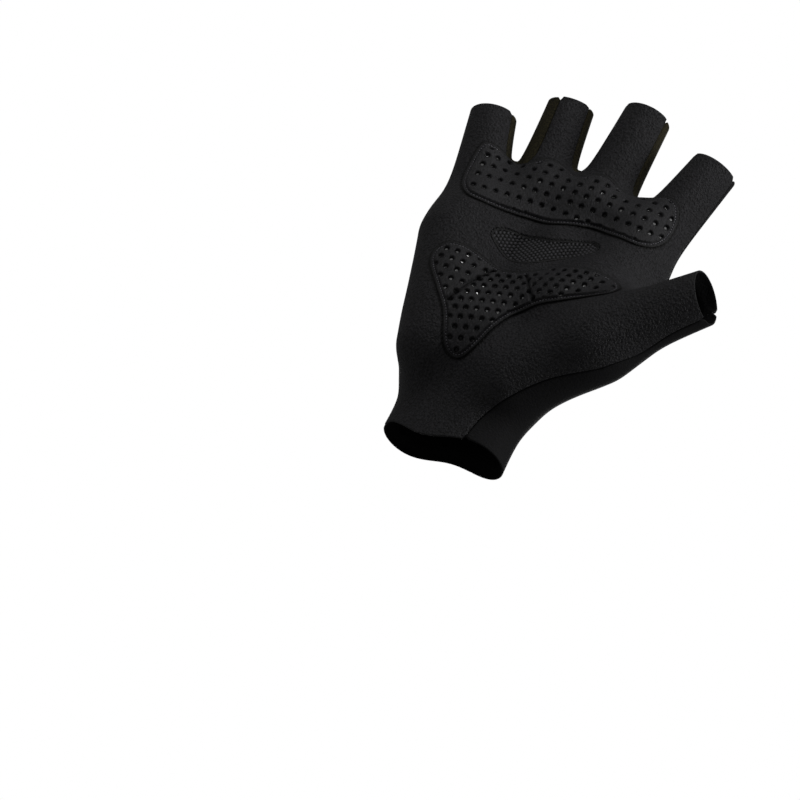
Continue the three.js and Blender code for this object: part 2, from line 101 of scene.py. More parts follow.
# The palm's view: the turn into its axes (right, down and ahead), its offset, the
# distance of the plane on which rows of dimples are laid out, the distance from
# which a line of sight looks for the skin, and the dimples' level
VIEW_TURN = (-0.5946, 1.4179, -2.5886)
VIEW_OFFSET = (16.8731, 15.6613, 2892.2383)
VIEW_DISTANCE = 2850.0
VIEW_START = 2700.0
DIMPLE_LEVEL = 1.9


@dataclass(frozen=True)
class Rod:
    """A tapered round rod of the hand's form."""

    start: Place
    end: Place
    start_radius: float
    end_radius: float

    def measure(self, points: Array) -> tuple[Array, Array]:
        """Measures points against the rod's skin.

        Args:
            points: The places, one a row.

        Returns:
            The distance of each from the skin, and the way in which it grows.
        """
        start = np.array(self.start)
        along = np.array(self.end) - start
        length2 = float(along @ along)
        offset = points - start
        share = np.clip(offset @ along / length2, 0, 1)
        reach = offset - share[:, None] * along
        size = np.linalg.norm(reach, axis=1)
        taper = self.end_radius - self.start_radius
        way = reach / np.maximum(size, TINY)[:, None]
        way[(share > 0) & (share < 1)] -= taper / length2 * along
        return size - self.start_radius - share * taper, way

    def at_height(self, z: Array) -> Array:
        """The points of the rod's axis at the heights z, also past its ends."""
        start, end = np.array(self.start), np.array(self.end)
        return start + (end - start) * ((z - start[2]) / (end[2] - start[2]))[:, None]

    def radius_at(self, z: Array) -> Array:
        """The rod's radius at the heights z, also past its ends."""
        share = (z - self.start[2]) / (self.end[2] - self.start[2])
        return self.start_radius + (self.end_radius - self.start_radius) * share


FINGERS = {
    "index": Rod((-33, -1, 96), (-48, -4, 168), 11, 8.6),
    "middle": Rod((-10, -3, 100), (-13, 0, 176), 11.4, 8.7),
    "ring": Rod((11.5, -2, 98), (17.3, 0, 170), 10.7, 8.4),
    "little": Rod((30, 5, 90), (43, 5, 152), 10.4, 8.2),
    "thumb": Rod((-38, 22.8, 45.7), (-80, 35, 77), 12.3, 9.7),
}
WEBS = (
    Rod((-29, 2, 108), (-17, 1, 111), 9, 9),
    Rod((-4, 1, 112), (7, 1, 111), 9, 9),
    Rod((19, 2, 99.5), (28, 3, 97.5), 8.5, 8.5),
    Rod((-34, 13, 67.5), (-47, 19.3, 57), 12.3, 10.8),
)
HAND = (
    Rod((-32, -1, 94), (-12, 6, 28), 13, 14),
    Rod((-10, -4, 98), (-4, 2, 28), 12.5, 15),
    Rod((12, -3, 96), (5, -2, 28), 12.5, 15),
    Rod((29.5, 5, 86), (14, -4, 28), 12.5, 14.2),
    Rod((-15, 12, 26.5), (-40, 20.8, 45.5), 14.8, 13.8),
    Rod((17.5, 12, 31), (31.3, 10.3, 77), 13.4, 10.8),
    Rod((-21, 14, 57), (-30, 5.5, 82), 13.8, 12.8),
    Rod((0, 10.5, 40), (-7.5, 4, 84), 13, 12.2),
    Rod((15, 11, 44), (17, 6, 80), 12.5, 11.5),
    Rod((-10, 3, 30), (-10.5, 0.5, -14), 13, 13.5),
    Rod((0, 0, 30), (0, -1, -14), 14, 14),
    Rod((10, -3, 30), (12, -4, -14), 13, 13.5),
)


@dataclass(frozen=True)
class Hem:
    """The plane in which a finger of the glove ends."""

    centre: Place
    way: Place

    def past(self, points: Array) -> tuple[Array, Array]:
        """How far points are past the plane, and how far from the finger's axis.

        Args:
            points: The places, one a row.

        Returns:
            Both distances of each point.
        """
        outward = np.array(self.way) / np.linalg.norm(self.way)
        offset = points - np.array(self.centre)
        past = offset @ outward
        return past, np.linalg.norm(offset - past[:, None] * outward, axis=1)


HEMS = {
    "index": Hem((-44.3, -3, 147.4), (-15, 6, 72)),
    "middle": Hem((-12.5, 0, 159), (-3, 3, 76)),
    "ring": Hem((16.3, 0, 153.2), (6, 13, 72)),
    "little": Hem((41, 4, 136), (11, 4, 62)),
    "thumb": Hem((-73, 33.4, 72), (-42, 18, 18)),
}
# How far from a finger's axis its hem still cuts
HEM_REACH = 16.0

# Thumb-side seam by x: its z and y on the palm side (low) and where it comes out
# again on the back or radial side (high)
THUMB_SEAM = (
    # x, low z, low y, high z, high y
    (-90, 74, 38.4, 86, 27),
    (-77, 62.3, 34.8, 73, 23.5),
    (-67, 53.5, 31.3, 65, 19.5),
    (-57, 41.5, 27.5, 59.5, 12.5),
    (-51, 35, 28, 65, 8.5),
    (-46, 30, 28, 68, 6.5),
    (-34, 23, 26.5, 62, 5),
    (-26, 18, 24.5, 45, 4),
    (-18, 11, 21, 30, 3),
    (-13, 5, 17.5, 20, 3),
    (-10, -6, 17, 8, 3),
    (-6, -60, 17, -50, 3),
    (60, -60, 17, -50, 3),
)
THUMB_SEAM_FADE = 10.0
# Little-finger-side seam: z, y
LITTLE_SEAM = ((-46, 0), (18, 0), (38, 10), (70, 10), (100, 6.5), (200, 5))
# The seam's y on the index finger's side, and the x over which the little side's sets in
INDEX_SEAM_Y = -2.5
SEAM_SWITCH = (-6.0, 6.0)
# The seam's y between the fingers, the z over which it sets in and the x over which it ends
FINGER_SEAM_Y = 1.5
FINGER_SEAM_Z = (95.0, 108.0)
FINGER_SEAM_X = (26.0, 36.0)

# Outlines on the palm, as x and z of the points of closed smooth curves
KNUCKLE_PAD = (
    (36.2, 108), (35.8, 101.2), (34, 95.5), (29.5, 91.3), (22, 91), (13, 92.4), (5, 93.9), (-3, 94.3),
    (-11.9, 97), (-18.5, 98.5), (-27, 96.5), (-34.6, 95.6), (-39.9, 98.3), (-42.6, 104), (-43.3, 111),
    (-42.6, 117), (-40, 121.7), (-35, 123.3), (-28.5, 121.5), (-23, 119.3), (-19, 119.6), (-13, 122.8),
    (-8, 122.3), (-3.7, 119.6), (1, 120.5), (6, 122.8), (10.5, 123.2), (15, 120.8), (19.5, 118.5),
    (25.6, 118.4), (31, 119), (34.7, 118.3), (36, 115),
)
PALM_VENT = (
    (15.2, 79), (13.5, 83.3), (8, 85.5), (0, 85.9), (-6, 85.7), (-12.4, 88.5), (-19, 92), (-23, 89.7),
    (-23.3, 85.7), (-18.7, 82), (-13, 78.2), (-7.2, 74), (-0.9, 71.3), (4.5, 71.5), (9.3, 73.6),
)
HEEL_PAD = (
    (20, 68.6), (26, 68), (29.5, 64.5), (30.4, 60), (28.5, 55), (22, 46), (16.2, 38), (13.5, 32),
    (11.5, 27), (9, 24), (5, 23), (1.6, 24.6), (-1.7, 30), (-4.5, 38.2), (-8, 45.7), (-14, 50.5),
    (-22.8, 54), (-31.3, 58), (-38.5, 60.8), (-41.2, 63.4), (-41.2, 67.6), (-38.3, 70.9),
    (-31.6, 72.8), (-22, 73.2), (-14.5, 72.2), (-4.4, 66.8), (1, 65.3), (8, 65.7), (14, 67.2),
)
HEEL_GROOVES = (
    ((19.5, 36), (16.8, 40.4), (14.8, 44.5), (11.9, 52.9), (9, 59.4), (6.5, 65), (4, 70)),
    ((-1, 71), (-3.6, 66.5), (-5.9, 63.6), (-9.4, 58.4), (-12.9, 53.2), (-15.5, 49.4), (-18, 45)),
)


def unit(vectors: Array) -> Array:
    """Vectors of length 1 along the given ones."""
    return vectors / np.maximum(np.linalg.norm(vectors, axis=1, keepdims=True), TINY)


def ramp(values: Array, low: float, high: float) -> Array:
    """A smooth step from 0 at low to 1 at high."""
    share = np.clip((values - low) / (high - low), 0, 1)
    return share * share * (3 - 2 * share)


class SmoothTable:
    """A table of columns read smoothly, without swinging past its rows."""

    def __init__(self, rows: Sequence[Sequence[float]]) -> None:
        """Takes rows whose first entry is the key.

        Args:
            rows: The rows, by growing key.
        """
        table = np.array(rows, float)
        self.keys, self.columns = table[:, 0], table[:, 1:]
        width = np.diff(self.keys)[:, None]
        chords = np.diff(self.columns, axis=0) / width
        before, after = chords[:-1], chords[1:]
        same_way = before * after > 0
        inner = np.where(same_way, 2 * before * after / np.where(same_way, before + after, 1), 0)
        self.slopes = np.vstack([chords[:1], inner, chords[-1:]])

    def read(self, at: Array) -> Array:
        """The columns at the given keys, one row each.

        Args:
            at: The keys to read at.

        Returns:
            The columns, smoothly between the rows.
        """
        at = np.clip(at, self.keys[0], self.keys[-1])
        row = np.clip(np.searchsorted(self.keys, at, side="right") - 1, 0, len(self.keys) - 2)
        width = (self.keys[row + 1] - self.keys[row])[:, None]
        t = (at - self.keys[row])[:, None] / width
        low, high = self.columns[row], self.columns[row + 1]
        bend_low, bend_high = self.slopes[row] * width, self.slopes[row + 1] * width
        return (
            low * (1 + 2 * t) * (1 - t) ** 2
            + bend_low * t * (1 - t) ** 2
            + high * t * t * (3 - 2 * t)
            + bend_high * t * t * (t - 1)
        )


THUMB_SEAM_TABLE = SmoothTable(THUMB_SEAM)
LITTLE_SEAM_TABLE = SmoothTable(LITTLE_SEAM)


def seam_y(x: Array, z: Array) -> Array:
    """The sheet between palm and back, as y over x and z.

    Args:
        x: Places towards the little finger.
        z: Places towards the fingers.

    Returns:
        The height of the sheet over each place.
    """
    low_z, low_y, high_z, high_y = THUMB_SEAM_TABLE.read(x).T
    little = LITTLE_SEAM_TABLE.read(z)[:, 0]
    among = ramp(z, *FINGER_SEAM_Z) * (1 - ramp(x, *FINGER_SEAM_X))
    outer = little + (FINGER_SEAM_Y - little) * among
    rest = INDEX_SEAM_Y + (outer - INDEX_SEAM_Y) * ramp(x, *SEAM_SWITCH)
    past = rest + (high_y - rest) * np.exp(np.minimum(0, high_z - z) / THUMB_SEAM_FADE)
    before = low_y + (high_y - low_y) * (z - low_z) / (high_z - low_z)
    return np.where(z > high_z, past, before)


@dataclass(frozen=True)
class WristHem:
    """The wrist's hem, with a tongue on the palm side and a rise at the back."""

    level: float = -2.5
    tilt: float = 0.06
    half_width: float = 14.0
    tongue: float = 4.8
    tongue_x: float = 6.0
    tongue_run: float = 15.0
    rise: float = 4.0
    rise_run: float = 13.0

    def height(self, x: Array, y: Array) -> Array:
        """The hem's height over x and y.

        Args:
            x: Places towards the little finger.
            y: Places out of the palm.

        Returns:
            The lowest z of the cloth at each.
        """
        tongue = self.tongue * ramp(y, 0, self.tongue_run)
        tongue *= np.exp(-(((x - self.tongue_x) / self.half_width) ** 2))
        rise = self.rise * ramp(-y, 0, self.rise_run) * np.exp(-((x / self.half_width) ** 2))
        return self.level + self.tilt * x - tongue + rise


WRIST_HEM = WristHem()


class HandForm:
    """The smooth form of the hand: a soft union of rods, zero on the glove's skin."""

    ROUNDS = 3
    LEAST_SLOPE = 0.2

    def __init__(self, rods: Sequence[Rod], blend: float) -> None:
        """Takes the rods and how softly they run into each other."""
        self.rods, self.blend = tuple(rods), blend

    def sample(self, points: Array) -> tuple[Array, Array]:
        """The field's value and slope at points.

        Args:
            points: The places, one a row.

        Returns:
            The value of each, 0 on the skin, and the way in which it grows.
        """
        total = np.zeros(len(points))
        pull = np.zeros((len(points), 3))
        for rod in self.rods:
            distance, way = rod.measure(points)
            weight = np.exp(-distance / self.blend)
            total += weight
            pull += weight[:, None] * way
        return -self.blend * np.log(total), pull / total[:, None]

    def settle(self, points: Array, level: Array | float, rounds: int = ROUNDS) -> Array:
        """Moves points straight in or out onto a level of the field.

        Args:
            points: The places.
            level: The level of all, or of each.
            rounds: How many times the move is made better.

        Returns:
            The moved places.
        """
        for _ in range(rounds):
            value, slope = self.sample(points)
            size = np.maximum((slope**2).sum(1), self.LEAST_SLOPE)
            points = points - slope * ((value - level) / size)[:, None]
        return points

    def lift(self, flat: Array, level: float = 0.0, rounds: int = 60) -> Array:
        """Drops points from in front of the palm straight onto a level of the field.

        Args:
            flat: The points' x and z.
            level: The level to land on.
            rounds: How many steps the drop takes.

        Returns:
            The landed points.
        """
        points = np.column_stack([flat[:, 0], np.full(len(flat), HIGH[1]), flat[:, 1]])
        for _ in range(rounds):
            points[:, 1] -= DROP_SHARE * (self.sample(points)[0] - level)
        return points

    def normals(self, points: Array) -> Array:
        """The outward ways at points."""
        return unit(self.sample(points)[1])


FORM = HandForm((*FINGERS.values(), *WEBS, *HAND), BLEND)


class PalmView:
    """The view in which the palm was photographed."""

    def __init__(self, turn: Place, offset: Place) -> None:
        """Takes the turn into the view's axes and the offset along them.

        Args:
            turn: The turn's axis, as long as its angle in radians.
            offset: Where the frame's origin lies along the view's axes.
        """
        angle = np.linalg.norm(turn)
        self.axes = np.array(Matrix.Rotation(float(angle), 3, Vector(turn)))
        self.offset = np.array(offset)
        self.place = -self.axes.T @ self.offset

    def seen(self, points: Array) -> Array:
        """Where points are seen, to the right and down on the view's plane."""
        along = points @ self.axes.T + self.offset
        return along[:, :2] / along[:, 2:] * VIEW_DISTANCE

    def landed(self, seen: Array, level: float, rounds: int = 120) -> Array:
        """Where what is seen lies on the skin.

        Args:
            seen: Places on the view's plane.
            level: The level of the form on which they were seen.
            rounds: How many steps the search takes.

        Returns:
            The points of the skin under them.
        """
        ways = unit(np.column_stack([seen / VIEW_DISTANCE, np.ones(len(seen))]) @ self.axes)
        run = np.full(len(seen), VIEW_START)
        for _ in range(rounds):
            run += DROP_SHARE * (FORM.sample(self.place + ways * run[:, None])[0] - level)
        return FORM.settle(self.place + ways * run[:, None], 0.0)


PALM_VIEW = PalmView(VIEW_TURN, VIEW_OFFSET)


@dataclass
class Skin:
    """A mesh of triangles that lies on the form, and its points' usual distance."""

    points: Array
    faces: Array
    step: float

    def border(self) -> Array:
        """The border's edges, each as its two points with the skin on their left.

        Returns:
            The edges that only one triangle has, one a row.
        """
        edges = np.vstack([self.faces[:, [0, 1]], self.faces[:, [1, 2]], self.faces[:, [2, 0]]])
        count = len(self.points)
        codes = edges[:, 0] * count + edges[:, 1]
        return edges[~np.isin(codes, edges[:, 1] * count + edges[:, 0])]


def biggest_part(faces: Array, count: int) -> Array:
    """The faces of the largest connected part among count points.

    Args:
        faces: The triangles.
        count: How many points they may name.

    Returns:
        The triangles that hang together with the most others.
    """
    label = np.arange(count)
    while True:
        low = label[faces].min(1)
        spread = label.copy()
        for corner in range(3):
            np.minimum.at(spread, faces[:, corner], low)
        spread = spread[spread]
        if (spread == label).all():
            break
        label = spread
    of_face = label[faces[:, 0]]
    names, counts = np.unique(of_face, return_counts=True)
    return faces[of_face == names[counts.argmax()]]


def net_of_form(low: Place, high: Place, step: float, halvings: int) -> Skin:
    """Nets the form's skin: one point for each grid cell that it passes through.

    Args:
        low: The lowest corner of the grid.
        high: Its highest corner.
        step: The grid's step.
        halvings: How many times each quad is then split in four.

    Returns:
        The skin, with evenly spread points.
    """
    origin = np.array(low)
    counts = np.ceil((np.array(high) - origin) / step).astype(int) + 1
    axes = [origin[i] + step * np.arange(counts[i]) for i in range(3)]
    grid = np.stack(np.meshgrid(*axes, indexing="ij"), -1).reshape(-1, 3)
    values = FORM.sample(grid)[0].reshape(counts)
    inside = values < 0

    corners = [inside[i : counts[0] - 1 + i, j : counts[1] - 1 + j, k : counts[2] - 1 + k]
               for i in (0, 1) for j in (0, 1) for k in (0, 1)]
    total = sum(corner.astype(int) for corner in corners)
    crossed = (total > 0) & (total < len(corners))
    number = np.full(crossed.shape, -1)
    number[crossed] = np.arange(crossed.sum())
    points = origin + step * (np.argwhere(crossed) + 0.5)

    quads = []
    for axis in range(3):
        across, up = (axis + 1) % 3, (axis + 2) % 3
        near = [slice(1, counts[i] - 1) for i in range(3)]
        far = list(near)
        near[axis], far[axis] = slice(0, counts[axis] - 1), slice(1, counts[axis])
        first, second = inside[tuple(near)], inside[tuple(far)]
        cells = np.argwhere(first != second)
        if not len(cells):
            continue
        leaving = first[tuple(cells.T)]
        cells[:, across] += 1
        cells[:, up] += 1
        ring = []
        for back_across, back_up in ((1, 1), (0, 1), (0, 0), (1, 0)):
            place = cells.copy()
            place[:, across] -= back_across
            place[:, up] -= back_up
            ring.append(number[tuple(place.T)])
        quad = np.stack(ring, 1)
        quad[~leaving] = quad[~leaving][:, ::-1]
        quads.append(quad)
    faces = np.concatenate(quads)
    points = FORM.settle(points, 0)
    points = relaxed(points, faces, rounds=4)
    for _ in range(halvings):
        points, faces = quartered(points, faces)
        points = FORM.settle(points, 0, rounds=2)
    return Skin(points, np.vstack(cut_short_way(points, faces)), step / 2**halvings)


def sides_of(quads: Array) -> tuple[Array, Array]:
    """The quads' different sides, and which of them each quad has.

    Args:
        quads: The quads' corners, one quad a row.

    Returns:
        The sides by their two ends, and four numbers of sides for each quad.
    """
    sides = np.sort(np.stack([quads, np.roll(quads, -1, 1)], -1).reshape(-1, 2), axis=1)
    sides, which = np.unique(sides, axis=0, return_inverse=True)
    return sides, which.reshape(-1, 4)


def relaxed(points: Array, quads: Array, rounds: int) -> Array:
    """Spreads a net's points evenly over the form.

    Args:
        points: The places, one a row.
        quads: The net's quads.
        rounds: How many times to even it out.

    Returns:
        The moved points.
    """
    edges = sides_of(quads)[0]
    here, there = np.concatenate([edges, edges[:, ::-1]]).T
    share = np.maximum(np.bincount(here, minlength=len(points)), 1)[:, None]
    for _ in range(rounds):
        total = np.stack(
            [np.bincount(here, points[there, i], len(points)) for i in range(3)], 1
        )
        points = FORM.settle((points + total / share) / 2, 0, rounds=1)
    return points


def quartered(points: Array, quads: Array) -> tuple[Array, Array]:
    """Splits each quad in four.

    Args:
        points: The places, one a row.
        quads: The net's quads.

    Returns:
        The old and new points, and the new quads.
    """
    edges, which = sides_of(quads)
    middle = len(points) + which
    centre = len(points) + len(edges) + np.arange(len(quads))
    made = np.concatenate([points, points[edges].mean(1), points[quads].mean(1)])
    parts = [
        np.stack([quads[:, c], middle[:, c], centre, middle[:, c - 1]], 1) for c in range(4)
    ]
    return made, np.concatenate(parts)


def cut_short_way(points: Array, quads: Array) -> tuple[Array, Array]:
    """Cuts quads into triangles along their shorter diagonals.

    Args:
        points: The places, one a row.
        quads: The net's quads.

    Returns:
        One half of each quad, and the other.
    """
    first = np.linalg.norm(points[quads[:, 0]] - points[quads[:, 2]], axis=1)
    second = np.linalg.norm(points[quads[:, 1]] - points[quads[:, 3]], axis=1)
    turned = np.where((first <= second)[:, None], quads, np.roll(quads, -1, axis=1))
    return turned[:, [0, 1, 2]], turned[:, [0, 2, 3]]


class Cut:
    """One line that borders a piece of cloth: negative on the piece's side."""

    PROBE = 0.05
    LEAST_SLOPE = 0.25
    JUMP = 40.0
    is_hem = False

    def raw(self, points: Array) -> Array:
        """How far points are past the line, in any steady measure."""
        raise NotImplementedError

    def measure(self, points: Array, normals: Array) -> tuple[Array, Array]:
        """Measures points along the skin.

        Args:
            points: Places on or near the skin.
            normals: The skin's outward ways there.

        Returns:
            The distance past the line, along the skin, and its way.
        """
        value = self.raw(points)
        slope = np.stack(
            [(self.raw(points + self.PROBE * axis) - value) / self.PROBE for axis in np.eye(3)], 1
        )
        slope -= normals * (slope * normals).sum(1)[:, None]
        steep = np.maximum(np.linalg.norm(slope, axis=1), self.LEAST_SLOPE)
        idle = (np.abs(value) > IDLE) | (np.abs(slope).max(1) > self.JUMP)
        distance = np.where(idle, value, value / steep)
        return distance, np.where(idle[:, None], 0, slope / steep[:, None])


@dataclass
class SeamCut(Cut):
    """The seam between palm (side 1) and back (side -1)."""

    side: int

    def raw(self, points: Array) -> Array:
        """Height over the seam sheet, away from the piece's side."""
        return -self.side * (points[:, 1] - seam_y(points[:, 0], points[:, 2]))


@dataclass(frozen=True)
class Reach:
    """How far a strip reaches on a finger to back and palm, as shares of its radius."""

    finger: str
    back: float
    palm: float


@dataclass(frozen=True)
class Strip:
    """A strip of mesh up the facing sides of two fingers."""

    left: Reach
    right: Reach
    bottom: float = 104.0
    at_bottom: float = 3.7
    grows: tuple[float, float] = (106.0, 124.0)

    def over(self, points: Array) -> Array:
        """How far points are over the strip's long edges, in y.

        Args:
            points: The places, one a row.

        Returns:
            The heights, negative on the strip.
        """
        z = points[:, 2]
        rods = FINGERS[self.left.finger], FINGERS[self.right.finger]
        left, right = (rod.at_height(z) for rod in rods)
        left_radius, right_radius = (rod.radius_at(z) for rod in rods)
        across = (points[:, 0] - left[:, 0]) / (right[:, 0] - left[:, 0])
        height = points[:, 1] - left[:, 1] - (right[:, 1] - left[:, 1]) * across
        share = ramp(z, *self.grows)
        back = self.left.back * left_radius * (1 - across) + self.right.back * right_radius * across
        palm = self.left.palm * left_radius * (1 - across) + self.right.palm * right_radius * across
        over = np.maximum(
            height - self.at_bottom - (palm - self.at_bottom) * share,
            -height - self.at_bottom - (back - self.at_bottom) * share,
        )
        return np.where((across > 0) & (across < 1) & (z > self.bottom), over, NOWHERE)


STRIPS = (
    Strip(Reach("index", 0.75, 0.5), Reach("middle", 0.74, 0.49)),
    Strip(Reach("middle", 0.7, 0.48), Reach("ring", 0.57, 0.5)),
    Strip(Reach("ring", 0.66, 0.93), Reach("little", 0.9, 0.55)),
)


@dataclass
class StripCut(Cut):
    """The long edges of a strip, for the strip or for the cloth round it."""

    strip: Strip
    within: bool

    def raw(self, points: Array) -> Array:
        """How far points are past the edges."""
        return (1 if self.within else -1) * self.strip.over(points)


@dataclass
class HemCut(Cut):
    """The hems of the fingers and the wrist, with a little extra length."""

    extra: float = 0.0
    is_hem = True

    def raw(self, points: Array) -> Array:
        """How far points are past the nearest hem.

        Args:
            points: The places, one a row.

        Returns:
            The distance of each past the cut.
        """
        past = WRIST_HEM.height(points[:, 0], points[:, 1]) - points[:, 2]
        for hem in HEMS.values():
            beyond, reach = hem.past(points)
            past = np.maximum(past, np.where(reach < HEM_REACH, beyond, -NOWHERE))
        return past - self.extra


@dataclass
class TabCut(Cut):
    """The curved lower seam of a cap on a finger's back."""

    hem: str
    length: float
    within: bool
    dip: float = 1.7
    half_width: float = 8.0

    def raw(self, points: Array) -> Array:
        """How far points are past the seam, from the cap's side or the other.

        Args:
            points: The places, one a row.

        Returns:
            The distance of each past the cut.
        """
        hem = HEMS[self.hem]
        beyond, reach = hem.past(points)
        aside = (points[:, 0] - hem.centre[0] - hem.way[0] / hem.way[2] * beyond) / self.half_width
        inwards = -beyond - self.length - self.dip * (1 - np.minimum(aside**2, 1))
        side = 1 if self.within else -1
        return np.where(reach < HEM_REACH, side * inwards, side * NOWHERE)


class Outline:
    """A closed smooth line in x and z on the palm."""

    def __init__(self, points: Sequence[Flat], per_point: int = 8) -> None:
        """Runs a smooth closed curve through points.

        Args:
            points: The x and z that the curve goes through.
            per_point: How many corners stand for each stretch.
        """
        knots = np.array(points, float)
        t = np.arange(per_point)[:, None] / per_point
        before, after, next_after = (np.roll(knots, -shift, axis=0) for shift in (-1, 1, 2))
        self.line = np.concatenate(
            [spline(before[i], knots[i], after[i], next_after[i], t) for i in range(len(knots))]
        )

    def distance(self, flat: Array) -> Array:
        """Distance of points, as x and z, from the line: negative inside.

        Args:
            flat: The x and z of the points.

        Returns:
            The distances.
        """
        ends = np.roll(self.line, -1, axis=0)
        inside = np.zeros(len(flat), bool)
        for start, end in zip(self.line, ends):
            crosses = (start[1] > flat[:, 1]) != (end[1] > flat[:, 1])
            if crosses.any():
                slant = (end[0] - start[0]) / (end[1] - start[1] or 1)
                inside ^= crosses & (flat[:, 0] < start[0] + (flat[:, 1] - start[1]) * slant)
        return line_distance(flat, self.line, ends) * np.where(inside, -1, 1)


def line_distance(flat: Array, starts: Array, ends: Array) -> Array:
    """Distances of points from the nearest of some straight stretches.

    Args:
        flat: The x and z of the points.
        starts: Where the stretches start.
        ends: Where they end.

    Returns:
        The distance of each point.
    """
    best = np.full(len(flat), NOWHERE**2)
    for start, end in zip(starts, ends):
        along = end - start
        offset = flat - start
        share = np.clip(offset @ along / (along @ along), 0, 1)
        best = np.minimum(best, ((offset - share[:, None] * along) ** 2).sum(1))
    return np.sqrt(best)


def spline(before: Array, start: Array, end: Array, after: Array, t: Array) -> Array:
    """Points of a smooth curve from start to end, with its neighbours' pull.

    Args:
        before: The corner before the start.
        start: Where the stretch starts.
        end: Where it ends.
        after: The corner after the end.
        t: Shares of the way, one a row.

    Returns:
        The points at those shares.
    """
    return 0.5 * (
        2 * start
        + (end - before) * t
        + (2 * before - 5 * start + 4 * end - after) * t**2
        + (3 * start - before - 3 * end + after) * t**3
    )


@dataclass
class OutlineCut(Cut):
    """An outline on the palm, for the piece inside it or the one round it."""

    outline: Outline
    within: bool

    def raw(self, points: Array) -> Array:
        """How far points are past the outline.

        Args:
            points: The places, one a row.

        Returns:
            The distance of each past the cut.
        """
        side = 1 if self.within else -1
        value = np.full(len(points), side * NOWHERE)
        low = self.outline.line.min(0) - OUTLINE_MARGIN
        high = self.outline.line.max(0) + OUTLINE_MARGIN
        flat = points[:, [0, 2]]
        near = ((flat > low) & (flat < high)).all(1) & (points[:, 1] > PALM_Y)
        value[near] = side * self.outline.distance(flat[near])
        return value


@dataclass
class Reading:
    """What an edge says of some points."""

    past: Array
    way: Array
    hem: Array


class Edge:
    """The whole border of a piece: several cuts with small rounded corners."""

    LEAST_SLOPE = 0.25
    LONGEST_STEP = 1.0

    def __init__(self, cuts: Sequence[Cut]) -> None:
        """Takes the cuts that the piece lies inside of."""
        self.cuts = tuple(cuts)

    def measure(self, points: Array, normals: Array) -> Reading:
        """Measures points along the skin.

        Args:
            points: Places on the skin.
            normals: The skin's outward ways there.

        Returns:
            How far each is past the border, the way in which that grows, and the
            share of the hems in it.
        """
        pairs = [cut.measure(points, normals) for cut in self.cuts]
        past = np.stack([distance for distance, _ in pairs])
        peak = past.max(0)
        weights = np.exp((past - peak) / CORNER)
        total = weights.sum(0)
        weights /= total
        way = sum(weight[:, None] * pair[1] for weight, pair in zip(weights, pairs))
        hem = sum(weight for weight, cut in zip(weights, self.cuts) if cut.is_hem)
        return Reading(peak + CORNER * np.log(total), way, hem + np.zeros(len(points)))

    def slide(self, points: Array, inset: Array | float, rounds: int = 4) -> Array:
        """Slides points along the skin to a distance inside the border.

        Args:
            points: Places on the skin.
            inset: The distance of all, or of each.
            rounds: How many times the move is made better.

        Returns:
            The moved places.
        """
        for _ in range(rounds):
            reading = self.measure(points, FORM.normals(points))
            size = np.maximum((reading.way**2).sum(1), self.LEAST_SLOPE)
            step = np.clip(-(reading.past + inset) / size, -self.LONGEST_STEP, self.LONGEST_STEP)
            points = FORM.settle(points + step[:, None] * reading.way, 0, rounds=1)
        return points


def clipped(skin: Skin, edge: Edge, inset: float) -> tuple[Skin, Array, Array]:
    """Cuts a skin along a line that runs a little inside an edge.

    Args:
        skin: The skin to cut.
        edge: The border.
        inset: How far inside it the cut runs.

    Returns:
        The skin inside, each point's distance past the border and its hem share.
    """
    points = skin.points.copy()
    reading = edge.measure(points, FORM.normals(points))
    past, hem = reading.past + inset, reading.hem
    near = np.abs(past) < SNAP * skin.step
    points[near] = edge.slide(points[near], inset)
    past[near] = 0
    state = np.sign(past).astype(int)

    faces = skin.faces[(state[skin.faces] < 0).any(1)]
    whole = faces[(state[faces] <= 0).all(1)]
    split = faces[(state[faces] > 0).any(1)]
    middle = state[split]
    one_in = (middle < 0).sum(1) == 1
    two_in = (middle < 0).sum(1) == 2

    ends, made = [], [whole]

    def crossing(inner: Array, outer: Array) -> Array:
        """Numbers of new points between inner and outer ones.

        Args:
            inner: The points inside the cut.
            outer: Their neighbours outside.

        Returns:
            One new number for each pair.
        """
        first = len(points) + sum(len(pair) for pair in ends)
        ends.append(np.stack([inner, outer], 1))
        return first + np.arange(len(inner))

    single = split[one_in]
    lead = (state[single] < 0).argmax(1)
    rows = np.arange(len(single))
    a, b, c = (single[rows, (lead + shift) % 3] for shift in range(3))
    b_new = np.where(state[b] > 0, crossing(a, b), b)
    c_new = np.where(state[c] > 0, crossing(a, c), c)
    made.append(np.stack([a, b_new, c_new], 1))

    double = split[two_in]
    lead = (state[double] > 0).argmax(1)
    rows = np.arange(len(double))
    out, a, b = (double[rows, (lead + shift) % 3] for shift in range(3))
    a_new, b_new = crossing(a, out), crossing(b, out)
    made += [np.stack([a, b, b_new], 1), np.stack([a, b_new, a_new], 1)]

    pairs = np.concatenate(ends)
    share = past[pairs[:, 0]] / np.minimum(past[pairs[:, 0]] - past[pairs[:, 1]], -TINY)
    share = np.clip(share, 0, 1)[:, None]
    new = points[pairs[:, 0]] * (1 - share) + points[pairs[:, 1]] * share
    new = edge.slide(new, inset)
    order = np.sort(pairs, axis=1)
    _, first, same = np.unique(order, axis=0, return_index=True, return_inverse=True)
    renumber = np.concatenate([np.arange(len(points)), len(points) + same.reshape(-1)])
    all_points = np.concatenate([points, new[first]])
    all_past = np.concatenate([past, np.zeros(len(first))]) - inset
    all_hem = np.concatenate([hem, hem[pairs[first, 0]]])

    faces = biggest_part(renumber[np.concatenate(made)], len(all_points))
    used, flat = np.unique(faces, return_inverse=True)
    kept = Skin(all_points[used], flat.reshape(-1, 3), skin.step)
    return kept, all_past[used], all_hem[used]


Relief = Callable[[Array, Array], Array]


